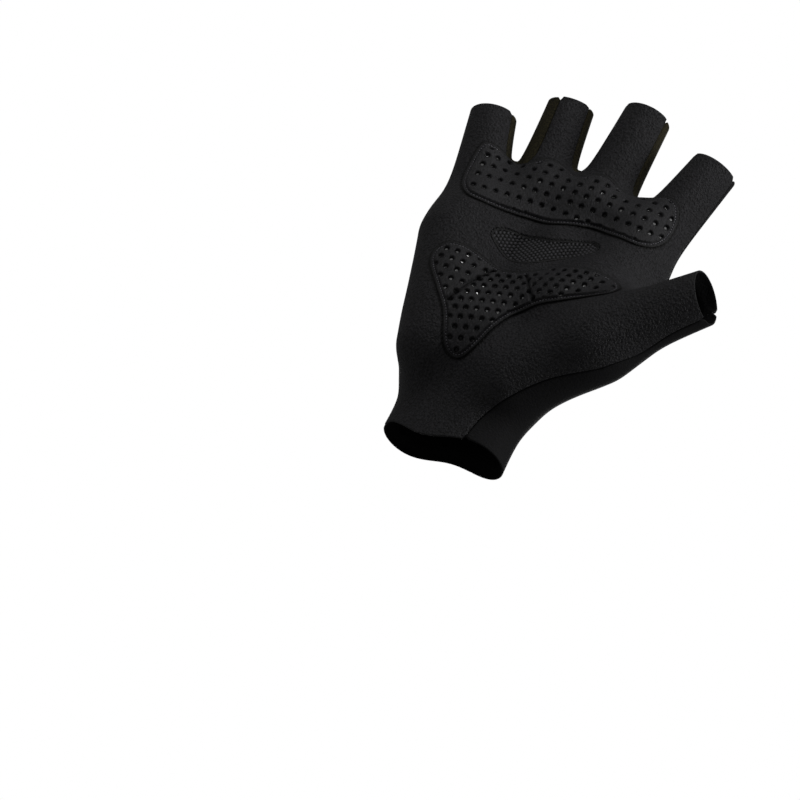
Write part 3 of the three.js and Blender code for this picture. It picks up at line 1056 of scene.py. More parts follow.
@dataclass
class Cloth:
    """A closed piece with an outer and an inner face, and a rolled rim between."""

    skin: Skin
    edge: Edge
    lift: float = 0.0
    bottom: float = -CLOTH
    rim: float = RIM
    seam_roll: float = SEAM_ROLL
    hem_roll: float = HEM_ROLL
    relief: Relief | None = None

    def rolls(self, hem: Array) -> Array:
        """The radius of the rim's roll for each hem share."""
        return self.seam_roll + (self.hem_roll - self.seam_roll) * hem

    def outer(self, points: Array, inset: Array, hem: Array) -> Array:
        """The level of the outer face at points of the skin.

        Args:
            points: The places, one a row.
            inset: How far inside the border each point is.
            hem: Each point's share of the hems.

        Returns:
            The level of each over the form.
        """
        roll = self.rolls(hem)
        share = np.clip(1 - inset / roll, 0, 1)
        drop = roll * (1 - np.sqrt(1 - share**2))
        relief = 0 if self.relief is None else self.relief(points, inset)
        return self.lift + relief - drop

    def build(self) -> tuple[Array, Array, Array, Array]:
        """Builds the piece.

        Returns:
            Points, triangles, each point's distance inside the border and each
            triangle's side: 0 outside and on the rim, 1 inside.
        """
        base, past, hem = clipped(self.skin, self.edge, self.rim)
        count = len(base.points)
        inset = -past
        outer = FORM.settle(base.points, self.outer(base.points, inset, hem))
        thinning = HEM_THIN * hem * (1 - ramp(inset, *HEM_THIN_RUN))
        inner = FORM.settle(base.points, self.bottom + thinning)

        border = base.border()
        rim = np.unique(border)
        place = np.full(count, -1)
        place[rim] = np.arange(len(rim))
        links = place[border]
        at, rim_hem = base.points[rim], hem[rim]
        roll = self.rolls(rim_hem)
        bottom = self.bottom + HEM_THIN * rim_hem
        rings, insets = [], []
        for angle in ROLL_ANGLES:
            target = np.maximum(roll * (1 - math.sin(math.radians(angle))), EDGE_GAP)
            at = self.edge.slide(at, target, rounds=3)
            rings.append(FORM.settle(at, self.outer(at, target, rim_hem)))
            insets.append(target)
        rings.append(FORM.settle(at, bottom + INNER_ROLL))
        insets.append(insets[-1])
        at = self.edge.slide(at, EDGE_GAP + INNER_ROLL, rounds=2)
        rings.append(FORM.settle(at, bottom))
        insets.append(insets[-1] + INNER_ROLL)

        points = np.concatenate([outer, inner, *rings])
        all_inset = np.concatenate([inset, inset, *insets])
        starts = [2 * count + n * len(rim) for n in range(len(rings))]
        bands = [rim, *[start + np.arange(len(rim)) for start in starts], count + rim]
        walls = []
        for near, far in zip(bands[:-1], bands[1:]):
            i, j = links.T
            walls.append(np.stack([near[j], near[i], far[i]], 1))
            walls.append(np.stack([near[j], far[i], far[j]], 1))
        faces = [base.faces, *walls, base.faces[:, ::-1] + count]
        inside = np.concatenate([np.zeros(len(base.faces) + sum(map(len, walls[:-2])), int),
                                 np.ones(len(base.faces) + sum(map(len, walls[-2:])), int)])
        return points, np.concatenate(faces), all_inset, inside


class Held(Enum):
    STRETCHED = "stretched"


class Slot(Enum):
    """The record's material slots."""

    BACK_KNIT = "back_knit"
    PALM_LEATHER = "palm_leather"
    TAB_LEATHER = "tab_leather"
    STRIP_MESH = "strip_mesh"
    PAD = "pad"
    VENT_MESH = "vent_mesh"


# A screen's values: white, and the curve to light, straight at first and then a power
SCREEN_WHITE = 255
STRAIGHT_END = 0.04045
STRAIGHT_SLOPE = 12.92
CURVE_OFFSET = 0.055
CURVE_POWER = 2.4
# Shares of red, green and blue: the glove's faint violet grey, and the strips' olive
GREY_TINT = (1.0, 0.985, 1.05)
OLIVE_DARK = (1.0, 0.9, 0.5)
OLIVE_LIGHT = (1.0, 48 / 52, 30 / 52)


class Signal:
    """A shader socket on which sums are written as on numbers."""

    def __init__(self, board: Board, socket: bpy.types.NodeSocket) -> None:
        """Takes the board that the socket's node stands on."""
        self.board, self.socket = board, socket

    def joined(self, sum_name: str, first: Signal | float, second: Signal | float) -> Signal:
        """A Math node's outcome."""
        return self.board.node("ShaderNodeMath", {"operation": sum_name}, {0: first, 1: second})

    def __add__(self, other: Signal | float) -> Signal:
        """This plus the other."""
        return self.joined("ADD", self, other)

    __radd__ = __add__

    def __mul__(self, other: Signal | float) -> Signal:
        """This times the other."""
        return self.joined("MULTIPLY", self, other)

    __rmul__ = __mul__

    def __sub__(self, other: Signal | float) -> Signal:
        """This less the other."""
        return self.joined("SUBTRACT", self, other)

    def __rsub__(self, other: Signal | float) -> Signal:
        """The other less this."""
        return self.joined("SUBTRACT", other, self)

    def ramp(self, low: float, high: float) -> Signal:
        """A smooth step from 0 at low to 1 at high.

        Args:
            low: Where the step starts.
            high: Where it ends.

        Returns:
            The step's height.
        """
        return self.board.node(
            "ShaderNodeMapRange",
            {"interpolation_type": "SMOOTHSTEP", "clamp": True},
            {"From Min": low, "From Max": high, "Value": self},
            "Result",
        )


class Board:
    """The node tree of a material or of the world."""

    # A Mix node's sockets for colours
    MIX_LOW = 6
    MIX_HIGH = 7
    MIX_RESULT = 2

    def __init__(self, owner: bpy.types.Material | bpy.types.World) -> None:
        """Empties the node tree of a new material or world.

        Args:
            owner: The material or world.
        """
        owner.use_nodes = True
        self.owner, self.tree = owner, owner.node_tree
        self.tree.nodes.clear()

    def node(
        self,
        kind: str,
        settings: dict[str, object],
        sockets: dict[str | int, object],
        output: str | int = 0,
    ) -> Signal | None:
        """Adds a node.

        Args:
            kind: The node's type.
            settings: Its own settings, which are set first.
            sockets: The values of its inputs, or the signals that feed them.
            output: The output that is wanted.

        Returns:
            That output, or nothing where the node ends the tree.
        """
        made = self.tree.nodes.new(kind)
        for name, value in settings.items():
            setattr(made, name, value)
        for name, value in sockets.items():
            if isinstance(value, Signal):
                self.tree.links.new(value.socket, made.inputs[name])
            else:
                made.inputs[name].default_value = value
        return Signal(self, made.outputs[output]) if len(made.outputs) else None

    def place(self) -> Signal:
        """The place on the object, in metres."""
        return self.node("ShaderNodeTexCoord", {}, {}, "Object")

    def attribute(self, name: str) -> Signal:
        """A number kept with the mesh's points."""
        return self.node("ShaderNodeAttribute", {"attribute_name": name}, {}, "Fac")

    def stretched(self, place: Signal, turn: Place, scale: Place) -> Signal:
        """A place turned about the origin and scaled along its axes."""
        return self.node("ShaderNodeMapping", {}, {"Vector": place, "Rotation": turn, "Scale": scale})

    def noise(
        self, place: Signal, scale: float = 1.0, detail: float = 2.0, rough: float = 0.5
    ) -> Signal:
        """Smooth noise, from about 0 to 1."""
        sockets = {"Vector": place, "Scale": scale, "Detail": detail, "Roughness": rough}
        return self.node("ShaderNodeTexNoise", {"noise_dimensions": "3D"}, sockets, "Fac")

    def blend(self, share: Signal, low: tuple, high: tuple) -> Signal:
        """A colour between two."""
        sockets = {"Factor": share, self.MIX_LOW: low, self.MIX_HIGH: high}
        return self.node("ShaderNodeMix", {"data_type": "RGBA"}, sockets, self.MIX_RESULT)

    def bump(self, height: Signal, depth: float) -> Signal:
        """A normal, from heights of 0 to 1 that stand for a depth in metres."""
        return self.node("ShaderNodeBump", {}, {"Height": height, "Distance": depth, "Strength": 1.0})

    def finish(self, sockets: dict[str, object]) -> bpy.types.Material:
        """Ends the tree with a Principled shader.

        Args:
            sockets: Its inputs.

        Returns:
            The material.
        """
        shader = self.node("ShaderNodeBsdfPrincipled", {}, sockets)
        self.node("ShaderNodeOutputMaterial", {}, {"Surface": shader})
        return self.owner


def linear(value: float) -> float:
    """A linear share of light from a screen value of 0 to 255.

    Args:
        value: The screen value.

    Returns:
        The share of white's light.
    """
    share = value / SCREEN_WHITE
    if share < STRAIGHT_END:
        return share / STRAIGHT_SLOPE
    return ((share + CURVE_OFFSET) / (1 + CURVE_OFFSET)) ** CURVE_POWER


def tone(grey: float, tint: Place = GREY_TINT) -> tuple[float, float, float, float]:
    """A linear colour from a screen value of 0 to 255, and its share of each primary."""
    return (*(linear(grey * share) for share in tint), 1.0)


@dataclass(frozen=True)
class ClothFinish:
    """A dull cloth or leather with fine grain, and painted shade along its edges."""

    name: str
    dark: tuple
    light: tuple
    grain: Place
    depth: float
    roughness: float
    specular: float
    turn: Place = (0, 0, 0)
    grain_rough: float = 0.55
    grain_run: Flat = (0.3, 0.7)
    patches: float = 60.0
    patch_run: Flat = (0.35, 0.65)
    patchy: float = 0.12
    # Where along the edge the painted shade runs, and how strong it is
    edge_run: Flat = (0.0, 0.35)
    edge_shade: float = 0.6
    # The colour that the painted shade along the edges runs to
    seam: tuple = tone(3)

    def make(self) -> bpy.types.Material:
        """Builds the material.

        Returns:
            The material.
        """
        board = Board(bpy.data.materials.new(self.name))
        fine = self.fibres(board)
        return board.finish({
            "Base Color": board.blend(self.lines(board), self.colour(board, fine), self.seam),
            "Roughness": self.gloss(board),
            "Specular IOR Level": self.specular,
            "Normal": board.bump(self.relief(board, fine), self.depth),
        })

    def fibres(self, board: Board) -> Signal:
        """The grain, from about 0 to 1."""
        return board.noise(board.stretched(board.place(), self.turn, self.grain), rough=self.grain_rough)

    def colour(self, board: Board, fine: Signal) -> Signal:
        """The colour away from the seams."""
        return board.blend(self.shade(board, fine), self.dark, self.light)

    def gloss(self, board: Board) -> Signal | float:
        """The roughness."""
        return self.roughness

    def relief(self, board: Board, fine: Signal) -> Signal:
        """The heights that the bump shows."""
        return fine

    def shade(self, board: Board, fine: Signal) -> Signal:
        """How light the colour is, by the grain and slow changes of tone."""
        broad = board.noise(board.place(), self.patches)
        return fine.ramp(*self.grain_run) * (1 - self.patchy) + broad.ramp(*self.patch_run) * self.patchy

    def lines(self, board: Board) -> Signal:
        """How strong the painted shade along the edge is."""
        return (1 - board.attribute("from_edge").ramp(*self.edge_run)) * self.edge_shade


@dataclass(frozen=True)
class PalmFinish(ClothFinish):
    """The palm's leather, with painted shade round the pads."""

    # Painted shade in a line round the pads: where it runs and how strong it is
    pad_shade_run: Flat = (0.45, 1.125)
    pad_shade: float = 0.95

    def lines(self, board: Board) -> Signal:
        """How strong the painted shade along the edge and round the pads is.

        Args:
            board: The material's node tree.

        Returns:
            The shade, from 0 to 1.
        """
        edge = super().lines(board)
        pad_shade_share = 1 - board.attribute("from_pad").ramp(*self.pad_shade_run)
        return 1 - (1 - edge) * (1 - pad_shade_share * self.pad_shade)


@dataclass(frozen=True)
class PadFinish(ClothFinish):
    """The pads' canvas: painted shade in its seams, channels and dimples, and smooth at the dimples'
    floors.
    """

    # Painted shade along the pad's edge: where it runs, how strong it is and its colour
    edge_run: Flat = (0.35, 0.7)
    edge_shade: float = 0.9
    seam: tuple = tone(2)
    canvas_turns: tuple[Place, Place] = ((0, 0.6, 0), (0, -0.9, 0))
    # Painted shade in the sewn groove
    groove_at: float = 1.25
    groove_half: float = 0.3
    groove_shade: float = 0.7
    # Painted shade in the channels
    channel_run: Flat = (0.6, 0.95)
    channel_shade: float = 0.85
    # Painted shade in the dimples
    dimple_run: Flat = (0.1, 0.7)
    dimple_shade: float = 0.55
    floor_run: Flat = (0.7, 1.0)
    floor_roughness: float = 0.12

    def lines(self, board: Board) -> Signal:
        """How strong the painted shade at the edge, the sewn line, the channels and the dimples is.

        Args:
            board: The material's node tree.

        Returns:
            The shade, from 0 to 1.
        """
        inset = board.attribute("from_edge")
        groove = inset.ramp(self.groove_at - self.groove_half, self.groove_at)
        groove = groove * (1 - inset.ramp(self.groove_at, self.groove_at + self.groove_half))
        channel = board.attribute("channel").ramp(*self.channel_run)
        dimple = board.attribute("dimple").ramp(*self.dimple_run)
        # The share that the painted shade at the edge and in the groove leaves unshaded
        sewn = (1 - super().lines(board)) * (1 - groove * self.groove_shade)
        return 1 - sewn * (1 - channel * self.channel_shade) * (1 - dimple * self.dimple_shade)

    def fibres(self, board: Board) -> Signal:
        """The canvas: two crossing grains."""
        ways = (board.stretched(board.place(), turn, self.grain) for turn in self.canvas_turns)
        return sum(board.noise(way, detail=1.0) for way in ways) * 0.5

    def floor(self, board: Board) -> Signal:
        """Where the dimples' smooth floors are."""
        return board.attribute("dimple").ramp(*self.floor_run)

    def gloss(self, board: Board) -> Signal:
        """The roughness, less on the dimples' floors."""
        return self.roughness - self.floor(board) * (self.roughness - self.floor_roughness)

    def relief(self, board: Board, fine: Signal) -> Signal:
        """The canvas, but for the dimples' floors."""
        return fine * (1 - self.floor(board))


@dataclass(frozen=True)
class WeaveFinish(ClothFinish):
    """The vent's woven mesh, with painted shade in its gaps, and its plain turned edge."""

    # The colour that the painted shade along the edge runs to
    seam: tuple = tone(2)
    plain: tuple = tone(6)
    # How the painted shade in the gaps lightens up to the threads' tops
    thread_run: Flat = (0.3, 0.95)

    def colour(self, board: Board, fine: Signal) -> Signal:
        """Threads that lighten up to their tops over gaps in painted shade, and the plain edge round
        them.
        """
        weave = board.blend(board.attribute("thread").ramp(*self.thread_run), self.dark, self.light)
        return board.blend(board.attribute("woven"), self.plain, weave)


@dataclass(frozen=True)
class ThreadFinish:
    """A sewing thread, a little brighter than the cloth: partly its own grey, partly painted highlight.
    """

    name: str
    dark: tuple
    light: tuple
    roughness: float
    twist: float = 3000.0
    twist_run: Flat = (0.3, 0.7)
    depth: float = 0.0001

    def make(self) -> bpy.types.Material:
        """Builds the material.

        Returns:
            The material.
        """
        board = Board(bpy.data.materials.new(self.name))
        twist = board.noise(board.place(), self.twist, detail=1.0)
        return board.finish({
            "Base Color": board.blend(twist.ramp(*self.twist_run), self.dark, self.light),
            "Roughness": self.roughness,
            "Normal": board.bump(twist, self.depth),
        })


BACK_KNIT = ClothFinish(
    "back_knit", tone(13), tone(23), grain=(900, 900, 2600), turn=(0, 0.7, 0),
    depth=0.0002, roughness=0.8, specular=0.15,
)
PALM_GRAIN = PalmFinish(
    "palm_leather", tone(18), tone(40), grain=(1250, 1250, 1050), turn=(0, 0.3, 0),
    depth=0.0011, roughness=0.6, specular=0.2,
)
TAB_GRAIN = ClothFinish(
    "tab_leather", tone(36), tone(52), grain=(1100, 1100, 900), turn=(0, 0.3, 0),
    depth=0.0007, roughness=0.6, specular=0.3,
)
STRIP_GRAIN = ClothFinish(
    "strip_mesh", tone(20, OLIVE_DARK), tone(52, OLIVE_LIGHT), grain=(1500, 1500, 1500),
    depth=0.0003, roughness=0.85, specular=0.15,
)
PAD_FABRIC = PadFinish(
    "pad_fabric", tone(10), tone(42), grain=(2600, 2600, 900),
    depth=0.0005, roughness=0.55, specular=0.2,
)
# Black is the painted shade in the vent's gaps
VENT_WEAVE = WeaveFinish(
    "vent_mesh", tone(0), tone(54), grain=(2500, 2500, 2500),
    depth=0.0001, roughness=0.6, specular=0.25,
)
# The lining has no painted shade along its edges
LINING = ClothFinish(
    "inner_face", tone(9), tone(17), grain=(1200, 1200, 1200),
    depth=0.0003, roughness=0.9, specular=0.08, edge_shade=0.0,
)
# The pad thread's light grey is partly its own colour and partly painted highlight
PAD_THREAD = ThreadFinish("pad_thread", tone(50), tone(120), roughness=0.35)
VENT_THREAD = ThreadFinish("vent_thread", tone(3), tone(8), roughness=0.6)


@dataclass
class Solid:
    """A closed mesh, in millimetres, with what its material reads."""

    points: Array
    faces: Array
    side: Array
    readings: dict[str, Array] = field(default_factory=dict)

    def show(self, name: str, *finishes: bpy.types.Material) -> bpy.types.Object:
        """Makes the Blender object.

        Args:
            name: Its name.
            finishes: The materials by side.

        Returns:
            The object, at the origin.
        """
        mesh = bpy.data.meshes.new(name)
        mesh.vertices.add(len(self.points))
        mesh.vertices.foreach_set("co", (self.points * MM).astype(np.float32).ravel())
        mesh.loops.add(self.faces.size)
        mesh.loops.foreach_set("vertex_index", self.faces.astype(np.int32).ravel())
        mesh.polygons.add(len(self.faces))
        mesh.polygons.foreach_set("loop_start", np.arange(0, self.faces.size, 3, dtype=np.int32))
        for finish in finishes:
            mesh.materials.append(finish)
        mesh.polygons.foreach_set("material_index", self.side.astype(np.int32))
        mesh.update(calc_edges=True)
        mesh.shade_smooth()
        for title, values in self.readings.items():
            kept = mesh.attributes.new(title, "FLOAT", "POINT")
            kept.data.foreach_set("value", values.astype(np.float32))
        made = bpy.data.objects.new(name, mesh)
        bpy.context.scene.collection.objects.link(made)
        return made


def hand_in(piece: bpy.types.Object, slot: Slot, *nodes: str) -> bpy.types.Object:
    """Rides a piece on the glove and hides the CAD nodes that it stands for.

    Args:
        piece: The finished piece.
        slot: The record's slot; not used.
        nodes: The CAD nodes that it stands for.

    Returns:
        The piece.
    """
    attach(piece, "root")
    if nodes:
        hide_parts(*nodes)
    log.info("%s: %d triangles", piece.name, len(piece.data.polygons))
    return piece


@dataclass(frozen=True)
class FlatCut:
    """The size that a sheet was cut to, in millimetres and square millimetres."""

    width: float
    length: float
    area: float

    def declare(self, piece: bpy.types.Object, rests_on: Sequence[str]) -> None:
        """Takes a sheet of this size and what it lies on, and does nothing with them.

        Args:
            piece: The sheet; not used.
            rests_on: The pieces that it lies on; not used.
        """


# The boxes in which the pads' and the vent's nets are made
PAD_NET_LOW = (-52.0, 4.0, 18.0)
PAD_NET_HIGH = (44.0, 52.0, 128.0)
VENT_NET_LOW = (-27.0, 5.0, 67.0)
VENT_NET_HIGH = (20.0, 45.0, 98.0)
KNUCKLE_LINE = Outline(KNUCKLE_PAD)
HEEL_LINE = Outline(HEEL_PAD)
VENT_LINE = Outline(PALM_VENT)
# The fingers that end in a cap, and the cap's length
CAPS = (("middle", 15.0), ("ring", 16.5))

FLAT_CUTS = {
    "back_cloth": FlatCut(175, 165, 17000),
    "palm_cloth": FlatCut(180, 175, 18000),
    "strip_index_middle": FlatCut(12, 86, 790),
    "strip_middle_ring": FlatCut(12, 80, 770),
    "strip_ring_little": FlatCut(12, 72, 670),
    "middle_cap": FlatCut(23, 17, 290),
    "ring_cap": FlatCut(25, 19, 390),
    "vent_mesh": FlatCut(38, 21, 430),
}


@dataclass
class Panels:
    """The glove's cloth: back, palm, strips between the fingers and fingertip caps."""

    strip_drop: float = 0.25
    cap_lift: float = 0.2
    palm_extra: float = 0.15
    strip_extra: float = -0.1

    def build(self) -> None:
        """Builds and dresses all pieces."""
        skin = net_of_form(LOW, HIGH, NET_STEP, halvings=1)
        log.info("skin: %d triangles", len(skin.faces))
        around = [StripCut(strip, within=False) for strip in STRIPS]
        caps = [TabCut(hem, length, within=False) for hem, length in CAPS]
        back = Edge([SeamCut(-1), HemCut(), *around, *caps])
        self.panel("back_cloth", skin, back, BACK_KNIT, Slot.BACK_KNIT, "back_panel")
        palm = Edge([SeamCut(1), HemCut(self.palm_extra), *around, OutlineCut(VENT_LINE, within=False)])
        self.panel("palm_cloth", skin, palm, PALM_GRAIN, Slot.PALM_LEATHER, "palm_panel")
        for strip in STRIPS:
            edge = Edge([StripCut(strip, within=True), HemCut(self.strip_extra)])
            fingers = f"{strip.left.finger}_{strip.right.finger}"
            self.panel(f"strip_{fingers}", skin, edge, STRIP_GRAIN, Slot.STRIP_MESH,
                       f"fourchette_{fingers}", -self.strip_drop)
        for hem, length in CAPS:
            cap = Edge([SeamCut(-1), HemCut(), *around, TabCut(hem, length, within=True)])
            self.panel(f"{hem}_cap", skin, cap, TAB_GRAIN, Slot.TAB_LEATHER, f"{hem}_tab", self.cap_lift)

    def panel(
        self,
        name: str,
        skin: Skin,
        edge: Edge,
        finish: ClothFinish,
        slot: Slot,
        node: str,
        lift: float = 0.0,
    ) -> None:
        """Builds one piece of cloth.

        Args:
            name: The piece's name.
            skin: The form's skin.
            edge: The piece's border.
            finish: Its outer face.
            slot: The record's slot.
            node: The CAD node that it stands for.
            lift: How far it stands out of the form.
        """
        points, faces, inset, side = Cloth(skin, edge, lift).build()
        readings = {"from_edge": inset}
        # The distance from the pads, which feeds the painted shade round them
        if slot is Slot.PALM_LEATHER:
            readings["from_pad"] = self.from_pads(points)
        piece = Solid(points, faces, side, readings).show(name, finish.make(), LINING.make())
        hand_in(piece, slot, node)
        FLAT_CUTS[name].declare(piece, [])

    def from_pads(self, points: Array) -> Array:
        """How far points are from the nearest pad's outline, along the cloth.

        Args:
            points: The places, one a row.

        Returns:
            The distances, negative under a pad.
        """
        normals = FORM.normals(points)
        cuts = (OutlineCut(KNUCKLE_LINE, within=True), OutlineCut(HEEL_LINE, within=True))
        return np.minimum.reduce([cut.measure(points, normals)[0] for cut in cuts])


@dataclass(frozen=True)
class Lattice:
    """Rows of dimples, laid out on the plane of the palm's view.

    The origin is one dimple's place to the right and down, across and along lead
    to the next ones, and the bends grow with the square of the count.
    """

    origin: Flat
    across: Flat
    along: Flat
    across_bend: Flat
    along_bend: Flat

    ROUNDS = 6
    LONGEST_STEP = 2

    def nearest(self, points: Array) -> Array:
        """The place on the palm of the dimple nearest to each point.

        Args:
            points: Places of the skin.

        Returns:
            The middle of that dimple, on the skin.
        """
        face = points + DIMPLE_LEVEL * FORM.normals(points)
        flat = PALM_VIEW.seen(face) - np.array(self.origin)
        ways = np.array([self.across, self.along]).T
        bends = np.array([self.across_bend, self.along_bend]).T
        count = np.linalg.solve(ways, flat.T)
        for _ in range(self.ROUNDS):
            error = ways @ count + bends @ count**2 - flat.T
            growth = ways + 2 * bends * count.T[:, None, :]
            step = np.linalg.solve(growth, error.T[:, :, None])[..., 0].T
            count = count - np.clip(step, -self.LONGEST_STEP, self.LONGEST_STEP)
        count, same = np.unique(np.round(count), axis=1, return_inverse=True)
        centres = (ways @ count + bends @ count**2).T + np.array(self.origin)
        return PALM_VIEW.landed(centres, DIMPLE_LEVEL)[same.reshape(-1)]


# The pads' rows of dimples, those of the heel from the little side to the thumb's
KNUCKLE_ROWS = Lattice((29.5, -84.85), (4.04, 1.2), (-1.77, 3.22), (0.005, 0.015), (0.025, 0.184))
HEEL_ROWS = (
    Lattice((16.55, -54.7), (3.88, 0.94), (-2.14, 2.52), (0.04, 0.09), (0.006, 0.087)),
    Lattice((32.3, -43.3), (3.77, 0.31), (-2.41, 1.83), (0.018, 0.027), (0.047, 0.158)),
    Lattice((51.9, -45.5), (3.97, 0.04), (-2.3, 1.72), (0.007, 0.104), (0.006, 0.097)),
)


@dataclass
class PadProfile:
    """How high a pad stands by the distance from its border."""

    border: float = 0.5
    groove: float = 0.2
    groove_at: float = 1.25
    groove_half: float = 0.4
    shoulder: tuple[float, float] = (1.35, 2.1)
    top: float = 1.2
    crown: float = 0.3
    crown_run: tuple[float, float] = (3.0, 11.0)

    def height(self, inset: Array) -> Array:
        """The height at each distance inside the border.

        Args:
            inset: How far inside the border each point is.

        Returns:
            The heights over the form.
        """
        dip = np.clip(1 - np.abs(inset - self.groove_at) / self.groove_half, 0, 1)
        rise = ramp(inset, *self.shoulder)
        full = self.border + (self.top - self.border) * rise + self.crown * ramp(inset, *self.crown_run)
        return full - (self.border - self.groove) * ramp(dip, 0, 1)


@dataclass
class Pad:
    """A dimpled foam pad on the palm."""

    name: str
    nodes: tuple[str, ...]
    line: Outline
    fields: tuple[Lattice, ...]
    channels: tuple[Sequence[Flat], ...] = ()
    profile: PadProfile = field(default_factory=PadProfile)
    radius: float = 1.35
    floor: float = 0.65
    depth: float = 0.85
    clear_run: tuple[float, float] = (1.4, 2.1)
    channel_half: float = 1.15
    channel_depth: float = 1.0
    channel_power: float = 1.5
    corners: int = 8
    fill: float = 0.8
    lowest: float = 0.05
    rim: float = 0.45
    edge_roll: float = 0.25
    net_step: float = 1.1

    def channel_distances(self, flat: Array) -> list[Array]:
        """The distances from the sewn channels, each with the side's sign.

        Args:
            flat: The x and z of the points.

        Returns:
            One row of distances for each channel.
        """
        found = []
        for channel in self.channels:
            knots = np.array(channel, float)
            padded = np.vstack([2 * knots[0] - knots[1], knots, 2 * knots[-1] - knots[-2]])
            t = np.arange(self.corners)[:, None] / self.corners
            parts = [spline(*padded[i : i + 4], t) for i in range(len(knots) - 1)]
            line = np.concatenate([*parts, knots[-1:]])
            by_z = line[np.argsort(line[:, 1])]
            side = np.interp(flat[:, 1], by_z[:, 1], by_z[:, 0])
            found.append(line_distance(flat, line[:-1], line[1:]) * np.sign(flat[:, 0] - side))
        return found

    def dimples(self, points: Array) -> Array:
        """How deep in a dimple each point is, from 0 to 1.

        Args:
            points: Places of the skin.

        Returns:
            The depth at each.
        """
        flat = points[:, [0, 2]]
        which = np.zeros(len(flat), int)
        for distance in self.channel_distances(flat):
            which += distance < 0
        reach = np.full(len(flat), NOWHERE)
        for number, lattice in enumerate(self.fields):
            own = which == number
            reach[own] = np.linalg.norm(points[own] - lattice.nearest(points[own]), axis=1)
        return 1 - ramp(reach, self.floor, self.radius)

    def valleys(self, points: Array) -> Array:
        """How deep in a sewn channel each point is, from 0 to 1.

        Args:
            points: Places of the skin.

        Returns:
            The depth at each.
        """
        depth = np.zeros(len(points))
        for distance in self.channel_distances(points[:, [0, 2]]):
            depth = np.maximum(depth, 1 - np.minimum(np.abs(distance) / self.channel_half, 1))
        return depth

    def relief(self, points: Array, inset: Array) -> Array:
        """The height of the pad's face at points of the skin.

        Args:
            points: Places of the skin.
            inset: How far inside the border each point is.

        Returns:
            The heights over the form.
        """
        clear = ramp(inset, *self.clear_run)
        channels = self.channel_depth * self.valleys(points) ** self.channel_power
        return self.profile.height(inset) - clear * (channels + self.depth * self.dimples(points))

    def build(self) -> None:
        """Builds and dresses the pad and the stitches round it."""
        skin = net_of_form(PAD_NET_LOW, PAD_NET_HIGH, self.net_step, halvings=2)
        edge = Edge([OutlineCut(self.line, within=True)])
        cloth = Cloth(skin, edge, bottom=self.lowest, rim=self.rim, seam_roll=self.edge_roll,
                      relief=self.relief)
        points, faces, inset, side = cloth.build()
        base = FORM.settle(points, 0.0)
        clear = ramp(inset, *self.clear_run)
        # The dimples' and channels' depths feed their painted shade and the dimples' smooth floors
        readings = {
            "from_edge": inset,
            "dimple": self.dimples(base) * clear,
            "channel": self.valleys(base) * clear,
        }
        piece = Solid(points, faces, side, readings).show(self.name, PAD_FABRIC.make(), LINING.make())
        hand_in(piece, Slot.PAD, *self.nodes)
        seam = Stitches(f"{self.name}_stitches", edge, self.profile.groove_at, self.profile.groove)
        seam.build(self.line, PAD_THREAD, Slot.PAD)


@dataclass
class Stitches:
    """A closed row of raised stitches that runs inside an edge."""

    name: str
    edge: Edge
    inset: float
    level: float
    pitch: float = 1.15
    length: float = 0.78
    radius: float = 0.17
    sides: int = 6
    rings: tuple[float, ...] = (-0.85, -0.5, 0.5, 0.85)
    blunt: int = 6
    proud: float = 0.6

    def path(self, line: Outline) -> Array:
        """The stitches' middles on the skin, evenly spread.

        Args:
            line: The outline that the row follows.

        Returns:
            The middles, one a row.
        """
        points = self.edge.slide(FORM.lift(line.line), self.inset, rounds=8)
        closed = np.vstack([points, points[:1]])
        run = np.concatenate([[0], np.cumsum(np.linalg.norm(np.diff(closed, axis=0), axis=1))])
        count = round(run[-1] / self.pitch)
        at = np.arange(count) * run[-1] / count
        return np.stack([np.interp(at, run, closed[:, i]) for i in range(3)], 1)

    def build(self, line: Outline, finish: ThreadFinish, slot: Slot) -> None:
        """Builds the row and dresses it.

        Args:
            line: The outline that the row follows.
            finish: The thread's finish.
            slot: The record's slot.
        """
        base = FORM.settle(self.path(line), 0.0)
        up = FORM.normals(base)
        middle = FORM.settle(base, self.level + self.radius * self.proud)
        along = unit(np.roll(middle, -1, axis=0) - np.roll(middle, 1, axis=0))
        along = unit(along - up * (along * up).sum(1)[:, None])
        across = np.cross(along, up)
        rows = [middle - along * self.length / 2]
        for share in self.rings:
            size = self.radius * math.sqrt(1 - share**self.blunt)
            for side in range(self.sides):
                angle = 2 * math.pi * side / self.sides
                round_way = across * math.cos(angle) + up * math.sin(angle)
                rows.append(middle + along * (share * self.length / 2) + round_way * size)
        rows.append(middle + along * self.length / 2)
        corners = np.stack(rows, 1)
        faces = self.template()
        per_stitch = corners.shape[1]
        all_faces = (faces[None] + per_stitch * np.arange(len(middle))[:, None, None]).reshape(-1, 3)
        solid = Solid(corners.reshape(-1, 3), all_faces, np.zeros(len(all_faces), int))
        hand_in(solid.show(self.name, finish.make()), slot)

    def template(self) -> Array:
        """The triangles of one stitch, facing out.

        Returns:
            The corners of each triangle, by number.
        """
        sides, last = self.sides, 1 + self.sides * len(self.rings)
        faces = []
        for side in range(sides):
            after = (side + 1) % sides
            faces.append((0, 1 + after, 1 + side))
            for ring in range(len(self.rings) - 1):
                a, b = 1 + ring * sides + side, 1 + ring * sides + after
                faces += [(a, b, b + sides), (a, b + sides, a + sides)]
            faces.append((last, last - sides + side, last - sides + after))
        return np.array(faces)


